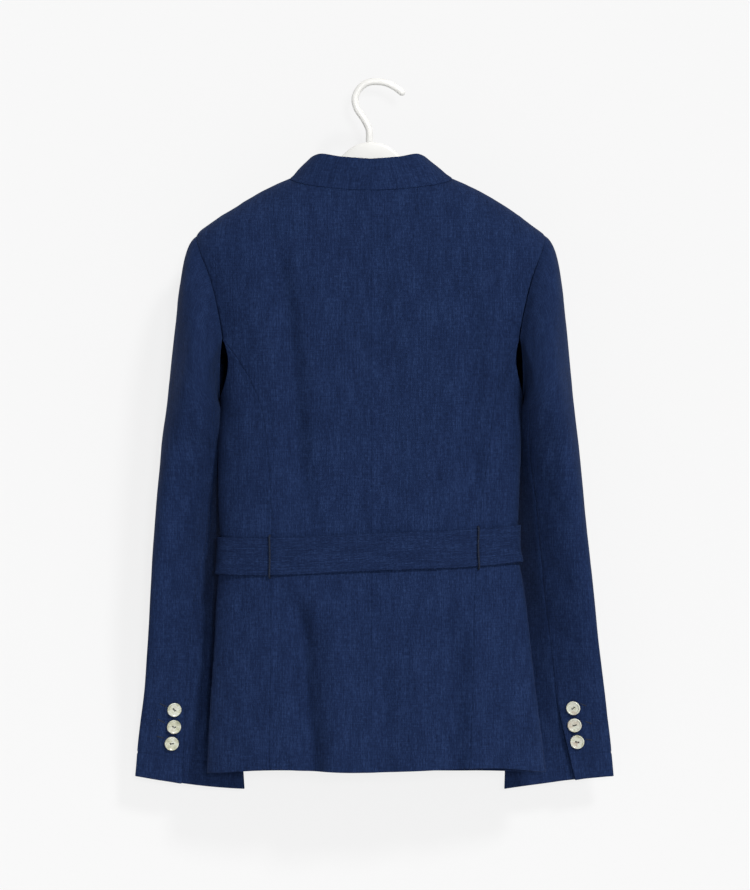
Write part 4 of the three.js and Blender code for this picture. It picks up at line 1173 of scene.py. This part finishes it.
def make_belt():
    columns, rows = GRID["belt"]
    u = np.linspace(-KNOT_Q, KNOT_Q, columns)[None]
    height = np.linspace(0.5, -0.5, rows)[:, None]
    u, height = np.broadcast_arrays(u, height)
    q = np.abs(u)
    arc = u * BELT_ARC
    low_edge = 0.9 * smooth((-height - 0.2) / 0.3) * (0.6 + 0.6 * wide_waves(arc / 55, np.full_like(arc, 12)))
    loops = sum(np.exp(-(((arc - side * LOOP_Q[side] * BELT_ARC) / 3.2) ** 2)) for side in SIDES)
    relief = np.clip(belt_wave(arc, height) + low_edge, -0.45, 2) - 0.8 * loops
    clear = belt_clear(q) + BELT_WALL
    outer, normal = belt_surface(u, height, clear + relief)
    inner = outer - normal * BELT_WALL
    grain = np.stack([arc * MM, height * BELT_WIDTH * MM, np.full_like(arc, 1.3)], axis=-1)
    points, faces, grain = shell(outer, inner, grain, BELT_RIMS)
    obj = make_mesh("belt_cloth", points, faces, grain)
    finish_piece(obj, belt_cloth, "belt_linen", "belt")
    return obj, belt_surface(u, height, clear)[0]


belt_piece, belt_grid = make_belt()

# The belt's two ends, with pleats that come out of the knot
TAIL = {"length": 190, "top_half": 5, "top_x": 6.5, "low_x": 24.5, "top_clear": 4.7, "low_clear": 1.2}
TAIL_SPREAD = 0.38
TAIL_SETTLE = 0.5
UNDER_KNOT = {"share": 0.92, "gap": 0.8}
PLEATS = {"count": 2.5, "depth": 1.1, "run": 0.5}


def make_tail(side):
    columns, rows = GRID["tail"]
    down = np.linspace(0, 1, rows)[:, None]
    across = np.linspace(-1, 1, columns)[None]
    down, across = np.broadcast_arrays(down, across)
    spread = smooth(down / TAIL_SPREAD)
    half = TAIL["top_half"] + (BELT_WIDTH / 2 - TAIL["top_half"]) * spread
    x = side * (TAIL["top_x"] + (TAIL["low_x"] - TAIL["top_x"]) * spread) + half * across
    arc = np.sqrt(np.maximum(0, UNDER_KNOT["share"] - (x / KNOT["half_width"]) ** 2))
    under_knot = KNOT["half_height"] * arc + UNDER_KNOT["gap"]
    z = BELT_FRONT_Z - under_knot * (1 - down) - down * (TAIL["length"] + KNOT["half_height"])
    u = side * (2 - side * x / quarter_length(side, False, z))
    normal = body_normal(u, z)
    settle = smooth(down / TAIL_SETTLE)
    clear = LAP_LIFT + TAIL["top_clear"] + (TAIL["low_clear"] - TAIL["top_clear"]) * settle
    pleats = 1 + np.cos(across * PLEATS["count"] * math.pi + side)
    pleats = PLEATS["depth"] / 2 * pleats * (1 - smooth(down / PLEATS["run"]))
    wave = 0.5 * np.abs(wide_waves(across * 0.8 + 40 + 5 * side, down * 3))
    plain = body_point(u, z) + normal * (clear + BELT_WALL)[..., None]
    outer = plain + normal * (pleats + wave)[..., None]
    grain = np.stack([x * MM, z * MM, np.full_like(x, 1.7)], axis=-1)
    points, faces, grain = shell(outer, outer - normal * BELT_WALL, grain, BELT_RIMS)
    obj = make_mesh(f"belt_tail_{SIDES[side]}_cloth", points, faces, grain)
    finish_piece(obj, tail_cloth, "belt_linen", f"belt_tail_{SIDES[side]}")
    state_sheet(obj, plain)


for side in SIDES:
    make_tail(side)


def ring_mesh(name, rings, grain=None):
    """A closed mesh from rings of points, each a row, with a flat face on the first and the last one."""
    count, sides = rings.shape[:2]
    at = np.arange(count * sides).reshape(count, sides)
    after = np.roll(at, -1, axis=1)
    faces = np.stack([at[:-1], at[1:], after[1:], after[:-1]], axis=-1).reshape(-1, 4).tolist()
    faces += [at[0].tolist(), at[-1][::-1].tolist()]
    points = rings.reshape(-1, 3)
    mesh = bpy.data.meshes.new(name)
    mesh.from_pydata((points * MM).tolist(), [], faces)
    shape = bmesh.new()
    shape.from_mesh(mesh)
    bmesh.ops.recalc_face_normals(shape, faces=shape.faces)
    shape.to_mesh(mesh)
    shape.free()
    return smooth_object(name, mesh, grain)


# The knot: a rounded lump with the troughs of the belt's turns round it
KNOT_FOLDS = {"count": 2, "twist": 1.6, "depth": 0.09, "cross": 0.05}


def make_knot():
    columns, rows = GRID["knot"]
    tilt = np.linspace(math.radians(3), math.radians(177), rows)[:, None]
    turn = np.linspace(0, 2 * math.pi, columns, endpoint=False)[None]
    trough = np.sin(KNOT_FOLDS["count"] * turn + KNOT_FOLDS["twist"] * np.cos(tilt) * 2)
    cross = np.sin(5 * np.cos(tilt) + 2 * np.sin(turn))
    size = 1 - KNOT_FOLDS["depth"] * (0.5 + 0.5 * trough) * np.sin(tilt)
    size = size - KNOT_FOLDS["cross"] * (0.5 + 0.5 * cross)
    seat = float(body_point(2, BELT_FRONT_Z)[1]) - LAP_LIFT - KNOT["gap"]
    x = KNOT["half_width"] * np.sin(tilt) * np.sin(turn) * size
    y = seat - KNOT["thickness"] / 2 - KNOT["thickness"] / 2 * np.sin(tilt) * np.cos(turn) * size
    z = BELT_FRONT_Z + KNOT["half_height"] * np.cos(tilt) * size
    rings = np.stack(np.broadcast_arrays(x, y, z), axis=-1)
    grain = rings.reshape(-1, 3) * MM
    obj = ring_mesh("belt_knot_cloth", rings, grain)
    return finish_piece(obj, belt_cloth, "belt_linen", "belt_knot")


knot_piece = make_knot()
state_sheet(belt_piece, belt_grid)


# Rods: the hook, the thread loops, the buttons' threads and the buttonhole stitches
END_TURNS = np.radians((20, 45, 70, 86))


def rod(name, path, radii, sides, squash=1.0, across=(0, 1, 0)):
    """A round rod along a line of points, rounded at its ends, and flattened where squash is below 1."""
    radii = np.broadcast_to(np.asarray(radii, float), len(path))
    along = unit(np.gradient(path, axis=0))

    def round_end(at, way, turns):
        past = along[at] * radii[at] * way
        return [(path[at] + past * math.sin(a), radii[at] * math.cos(a), along[at]) for a in turns]

    rings = [*round_end(0, -1, END_TURNS[::-1]), *zip(path, radii, along), *round_end(-1, 1, END_TURNS)]
    turn = np.arange(sides)[:, None] / sides * 2 * math.pi
    first = np.array(across, float)
    points = []
    for centre, radius, ahead in rings:
        first = unit(first - ahead * (first @ ahead))
        second = np.cross(ahead, first)
        points.append(centre + radius * (squash * np.cos(turn) * first + np.sin(turn) * second))
    return ring_mesh(name, np.array(points))


def even_line(points, spacing):
    """Points of a line at even steps, through a smooth curve."""
    points = np.asarray(points, float)
    knots = np.concatenate([[0], np.cumsum(np.sqrt(np.linalg.norm(np.diff(points, axis=0), axis=-1)))])
    axes = [track({"t": knots, "v": points[:, i]}, "t", "v") for i in range(points.shape[1])]
    fine = np.stack([axis(np.linspace(0, knots[-1], 600)) for axis in axes], axis=-1)
    run = np.concatenate([[0], np.cumsum(np.linalg.norm(np.diff(fine, axis=0), axis=-1))])
    at = np.linspace(0, run[-1], max(3, int(run[-1] / spacing)))
    return np.stack([np.interp(at, run, fine[:, i]) for i in range(points.shape[1])], axis=-1)


HOOK_ROD = {"spacing": 1.5, "thicker": 0.4, "sides": 32}
hook_line = even_line([(x, 0, z) for x, z in HOOK], HOOK_ROD["spacing"])[:-2]
hook = rod("hook_piece", hook_line, HOOK_RADIUS + HOOK_ROD["thicker"], HOOK_ROD["sides"])
finish_piece(hook, plastic, "hanger_plastic", "hanger_hook")

LOOP_STEPS = table(
    "up over out",
    (0.5, 3, 0.5),
    (0.5, 1.6, 2.2),
    (0.5, 0.4, 4),
    (0, 0, 4.4),
    (-0.5, -0.4, 4),
    (-0.5, -1.6, 2.2),
    (-0.5, -3, 0.5),
)
LOOP_THREAD = {"radius": 0.85, "swell": 0.3, "link": 2.4, "raise": 0.5}


def make_loop(side):
    """A chain of thread over the belt."""
    q = LOOP_Q[side]
    z = belt_z[side](q) + LOOP_STEPS["up"] * BELT_WIDTH + LOOP_STEPS["over"]
    u = np.full_like(z, side * q)
    out = LOOP_STEPS["out"] + LOOP_THREAD["raise"]
    path = even_line(body_point(u, z) + body_normal(u, z) * out[:, None], 0.4)
    links = np.abs(np.sin(np.arange(len(path)) * 0.4 / LOOP_THREAD["link"] * math.pi))
    obj = rod(f"thread_loop_{SIDES[side]}", path, LOOP_THREAD["radius"] + LOOP_THREAD["swell"] * links, 12)
    finish_piece(obj, thread, "thread", f"belt_loop_{SIDES[side]}")


for side in SIDES:
    make_loop(side)

# Pearl buttons: dished discs with two holes, sewn on with thread
# out is a share of the radius, and up is a share of the thickness
BUTTON_PROFILE = table(
    "out up",
    (0.02, 0),
    (0.80, 0),
    (0.90, 0.08),
    (0.97, 0.24),
    (1.00, 0.48),
    (0.985, 0.72),
    (0.95, 0.90),
    (0.90, 1.00),
    (0.84, 0.98),
    (0.79, 0.86),
    (0.75, 0.76),
    (0.70, 0.72),
)
BUTTON_HOLE = {"off": 1.55, "radius": 1.0, "soft": 0.35, "depth": 1.5}
BUTTON_SIDES = 64
DISH = {"rings": 24, "edge": 0.70, "centre": 0.66, "lip": 0.06}
# The thread's way over the button, from one hole to the other
THREAD_STEPS = table(
    "hole inset up",
    (-1, 0, -1.2),
    (-1, 0, -0.2),
    (-1, 0.3, 0.4),
    (0, 0, 0.6),
    (1, -0.3, 0.4),
    (1, 0, -0.2),
    (1, 0, -1.2),
)
BUTTON_THREAD = {"spacing": 0.2, "radius": 0.5, "sides": 10, "squash": 0.8}
# Turns of the buttons' threads, in degrees from level, counted anticlockwise as seen from outside
THREAD_TURNS = {
    "cuff_button_left_1": -42, "cuff_button_left_2": -18, "cuff_button_left_3": 0,
    "cuff_button_right_1": 38, "cuff_button_right_2": 12, "cuff_button_right_3": -14,
}
BUTTON_SHIFT = {"left": (0.8, 0.6, -1.3), "right": (0, 1.3, 0.6)}


def button_seat(node):
    """The middle of a button's back and its direction, from the model's own button."""
    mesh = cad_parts[node].data
    points = np.empty(len(mesh.vertices) * 3)
    mesh.vertices.foreach_get("co", points)
    points = points.reshape(-1, 3) / MM
    middle = (points.min(axis=0) + points.max(axis=0)) / 2
    normal = np.linalg.svd(points - points.mean(axis=0), full_matrices=False)[2][2]
    if normal[1] * (1 if node.startswith("cuff") else -1) < 0:
        normal = -normal
    off = (points - middle) @ normal
    return middle + normal * off.min(), normal


def make_button(node, size):
    seat, normal = button_seat(node)
    word = "left" if "left" in node else "right"
    if node.startswith("cuff"):
        seat = seat + np.array(BUTTON_SHIFT[word])
    level = unit(np.cross((0, 0, 1), normal))
    upright = np.cross(normal, level)
    tilt = math.radians(THREAD_TURNS.get(node, 0))
    # Seen from outside, level points to the viewer's right
    holes = level * math.cos(tilt) + upright * math.sin(tilt)
    other = np.cross(normal, holes)
    radius, thickness = size["radius"], size["thickness"]
    inward = np.linspace(DISH["edge"], 0.01, DISH["rings"])[1:]
    share = inward / DISH["edge"]
    dish = DISH["centre"] + (DISH["edge"] - DISH["centre"]) * share**2 + DISH["lip"] * share**4
    out = np.concatenate([BUTTON_PROFILE["out"], inward])[:, None] * radius
    up = np.concatenate([BUTTON_PROFILE["up"], dish])[:, None] * thickness
    turn = np.arange(BUTTON_SIDES)[None] / BUTTON_SIDES * 2 * math.pi
    a, b = out * np.cos(turn), out * np.sin(turn)
    gap = np.minimum(np.hypot(a - BUTTON_HOLE["off"], b), np.hypot(a + BUTTON_HOLE["off"], b))
    is_top = (np.arange(len(out)) >= len(BUTTON_PROFILE["out"]))[:, None]
    sunk = BUTTON_HOLE["depth"] * smooth((BUTTON_HOLE["radius"] - gap) / BUTTON_HOLE["soft"]) * is_top
    rings = seat + a[..., None] * holes + b[..., None] * other + (up - sunk)[..., None] * normal
    obj = ring_mesh(f"{node}_pearl", rings)
    finish_piece(obj, pearl, "pearl", node)
    face = seat + normal * thickness * DISH["centre"]
    x = THREAD_STEPS["hole"] * BUTTON_HOLE["off"] + THREAD_STEPS["inset"]
    places = face + x[:, None] * holes + THREAD_STEPS["up"][:, None] * normal
    path = even_line(places, BUTTON_THREAD["spacing"])
    size = (BUTTON_THREAD[name] for name in ("radius", "sides", "squash"))
    stitch = rod(f"{node}_thread", path, *size, other)
    finish_piece(stitch, button_thread, "thread")


for node in sorted(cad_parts):
    if "button" in node:
        make_button(node, CUFF_BUTTON if node.startswith("cuff") else FRONT_BUTTON)

# Buttonhole stitches beside the cuff buttons: where each starts and ends
STITCHES = {
    1: table(
        "x1 z1 x2 z2",
        (232, -680.7, 225.5, -684),
        (234.3, -698.3, 227.7, -701.6),
        (235.4, -717, 229, -718.6),
    ),
    -1: table(
        "x1 z1 x2 z2",
        (231, -680.7, 236.5, -683),
        (236.5, -700.5, 242.6, -702.7),
        (236.5, -720, 243, -721),
    ),
}
STITCH_SIZE = {"radius": 0.7, "sides": 8, "squash": 0.4}


def on_sleeve(side, x, z):
    """The nearest point of the sleeve's back to a place."""
    points, normals = sleeve_faces[side]
    off = np.hypot(np.abs(points[..., 0]) - x, points[..., 2] - z) + np.where(normals[..., 1] > 0.1, 0, 1000)
    at = np.argsort(off, axis=None)[:4]
    weight = 1 / (off.ravel()[at] + 0.2)
    near = (points.reshape(-1, 3)[at] * weight[:, None]).sum(axis=0) / weight.sum()
    return np.array([side * x, near[1], z])


for side, rows in STITCHES.items():
    for i in range(len(rows["x1"])):
        share = np.linspace(0, 1, 9)[:, None]
        ends = [np.array([rows[f"x{k}"][i], rows[f"z{k}"][i]]) for k in (1, 2)]
        places = ends[0] * (1 - share) + ends[1] * share
        path = np.array([on_sleeve(side, x, z) for x, z in places])
        stitch = rod(f"buttonhole_{SIDES[side]}_{i + 1}", path, *STITCH_SIZE.values())
        finish_piece(stitch, thread, "thread")

# Hanger: arms that follow the shoulder line just inside the cloth, with rounded edges
HANGER_DOME = table(
    "x z",
    (0, -62.5),
    (9, -63.5),
    (18, -66.7),
    (26, -72),
    (33, -78.5),
    (45, -85.5),
    (62, -92.5),
)
HANGER = {"end": 173, "last_z": -160, "drop": 3.3, "height": 20, "bevel": 3.5, "sharp": 35}
HANGER_TIP = {"slope": 0.72, "out_drop": 23, "low_drop": 33, "low_in": 6}
HANGER_NECK = {"reach": 70, "extra": 8, "in": 3, "last_x": 20}


def hanger_outline():
    dome_z = track(HANGER_DOME, "x", "z")
    top = [(x, float(dome_z(x))) for x in np.arange(0, HANGER_DOME["x"][-1] + 1, 2.0)]
    for z in np.arange(NECK_POINT_Z, HANGER["last_z"] - 1, -4.0):
        x = float(body["right"](z))
        if x < HANGER["end"] - HANGER_TIP["low_in"]:
            top.append((x, z - HANGER["drop"]))
    end_x, end_z = top[-1]
    tip = [
        (HANGER["end"], end_z - (HANGER["end"] - end_x) * HANGER_TIP["slope"]),
        (HANGER["end"] + 1, end_z - HANGER_TIP["out_drop"]),
        (HANGER["end"] - HANGER_TIP["low_in"], end_z - HANGER_TIP["low_drop"]),
    ]
    low = []
    for x, z in reversed(top):
        if x < HANGER["end"] - HANGER_NECK["last_x"] and x > HANGER_NECK["in"]:
            extra = HANGER_NECK["extra"] * (1 - smooth((x - HANGER_NECK["reach"]) / 20 + 0.5))
            low.append((x - HANGER_NECK["in"], z - HANGER["height"] - extra))
    half = top + tip + low
    return half + [(-x, z) for x, z in reversed(half) if x > 0]


def make_hanger():
    shape = bmesh.new()
    outline = [(x * MM, HANGER_THICKNESS / 2 * MM, z * MM) for x, z in hanger_outline()]
    face = shape.faces.new([shape.verts.new(point) for point in outline])
    grown = bmesh.ops.extrude_face_region(shape, geom=[face])["geom"]
    moved = [part for part in grown if isinstance(part, bmesh.types.BMVert)]
    bmesh.ops.translate(shape, verts=moved, vec=(0, -HANGER_THICKNESS * MM, 0))
    rims = [e for e in shape.edges if abs(e.verts[0].co.y - e.verts[1].co.y) < 1e-6]
    bmesh.ops.bevel(shape, geom=rims, offset=HANGER["bevel"] * MM, segments=5, profile=0.5, affect="EDGES")
    bmesh.ops.recalc_face_normals(shape, faces=shape.faces)
    mesh = bpy.data.meshes.new("hanger_piece")
    shape.to_mesh(mesh)
    shape.free()
    obj = smooth_object("hanger_piece", mesh)
    mesh.set_sharp_from_angle(angle=math.radians(HANGER["sharp"]))
    return finish_piece(obj, plastic, "hanger_plastic", "hanger")


make_hanger()

# Camera: the photograph's frame, square on to the back
PIXEL = 1.1
FRAME_WIDTH = 750
FRAME_HEIGHT = 890
AXIS_PX = 371
ZERO_PY = 85.2
DISTANCE = 10000
SENSOR = 36
camera_data = bpy.data.cameras.new("camera")
camera_data.sensor_width = SENSOR
camera_data.lens = SENSOR / 2 * DISTANCE / (FRAME_HEIGHT / 2 * PIXEL)
camera_data.clip_end = 100
camera = add_object("camera", camera_data)
camera.location = (
    (AXIS_PX - FRAME_WIDTH / 2) * PIXEL * MM,
    DISTANCE * MM,
    (ZERO_PY - FRAME_HEIGHT / 2) * PIXEL * MM,
)
camera.rotation_euler = (math.pi / 2, 0, math.pi)
bpy.context.scene.camera = camera

# Stage and light
def stage_material(name, level):
    material, tree, shader = new_material(name)
    shader.inputs["Base Color"].default_value = (level, level, level, 1)
    set_inputs(shader, Roughness=1.0, Specular_IOR_Level=0.0)
    return material, tree, shader


def plane(name, size, centre, rotation, material):
    bpy.ops.mesh.primitive_plane_add(size=size, location=centre, rotation=rotation)
    obj = bpy.context.object
    obj.name = name
    obj.data.materials.append(material)
    return obj


WALL_GLOW = 0.81
WALL_GREY = 0.10
FLOOR_GREY = 0.8
STAGE = {"size": 8, "wall_y": -0.078, "floor_z": -1.3}
WORLD_LIGHT = 0.3
wall_material, wall_tree, wall_shader = stage_material("wall", WALL_GREY)
wall_shader.inputs["Emission Color"].default_value = (1, 1, 1, 1)
wall_shader.inputs["Emission Strength"].default_value = WALL_GLOW
geometry = add_node(wall_tree, "ShaderNodeNewGeometry")
clear_shader = add_node(wall_tree, "ShaderNodeBsdfTransparent")
mixer = add_node(wall_tree, "ShaderNodeMixShader")
wall_tree.links.new(geometry.outputs["Backfacing"], mixer.inputs["Fac"])
wall_tree.links.new(wall_shader.outputs["BSDF"], mixer.inputs[1])
wall_tree.links.new(clear_shader.outputs["BSDF"], mixer.inputs[2])
wall_tree.links.new(mixer.outputs["Shader"], wall_tree.nodes["Material Output"].inputs["Surface"])
plane("wall", STAGE["size"], (0, STAGE["wall_y"], 0), (-math.pi / 2, 0, 0), wall_material)
floor_material = stage_material("floor", FLOOR_GREY)[0]
plane("floor", STAGE["size"], (0, 0, STAGE["floor_z"]), (0, 0, 0), floor_material)

world = bpy.data.worlds.new("world")
world.use_nodes = True
world.node_tree.nodes["Background"].inputs["Color"].default_value = (1, 1, 1, 1)
world.node_tree.nodes["Background"].inputs["Strength"].default_value = WORLD_LIGHT
bpy.context.scene.world = world


def sun(name, direction, energy, angle):
    data = bpy.data.lights.new(name, "SUN")
    data.energy = energy
    data.angle = math.radians(angle)
    obj = add_object(name, data)
    obj.rotation_euler = Vector(direction).to_track_quat("-Z", "Y").to_euler()


# Direction, strength and angle in degrees of each sun
SUNS = {"key": ((0.5, -1.0, -0.8), 2.35, 10), "fill": ((0.12, -1.0, -0.1), 1.0, 6)}
for name, settings in SUNS.items():
    sun(name, *settings)
bpy.context.scene.view_settings.view_transform = "Standard"
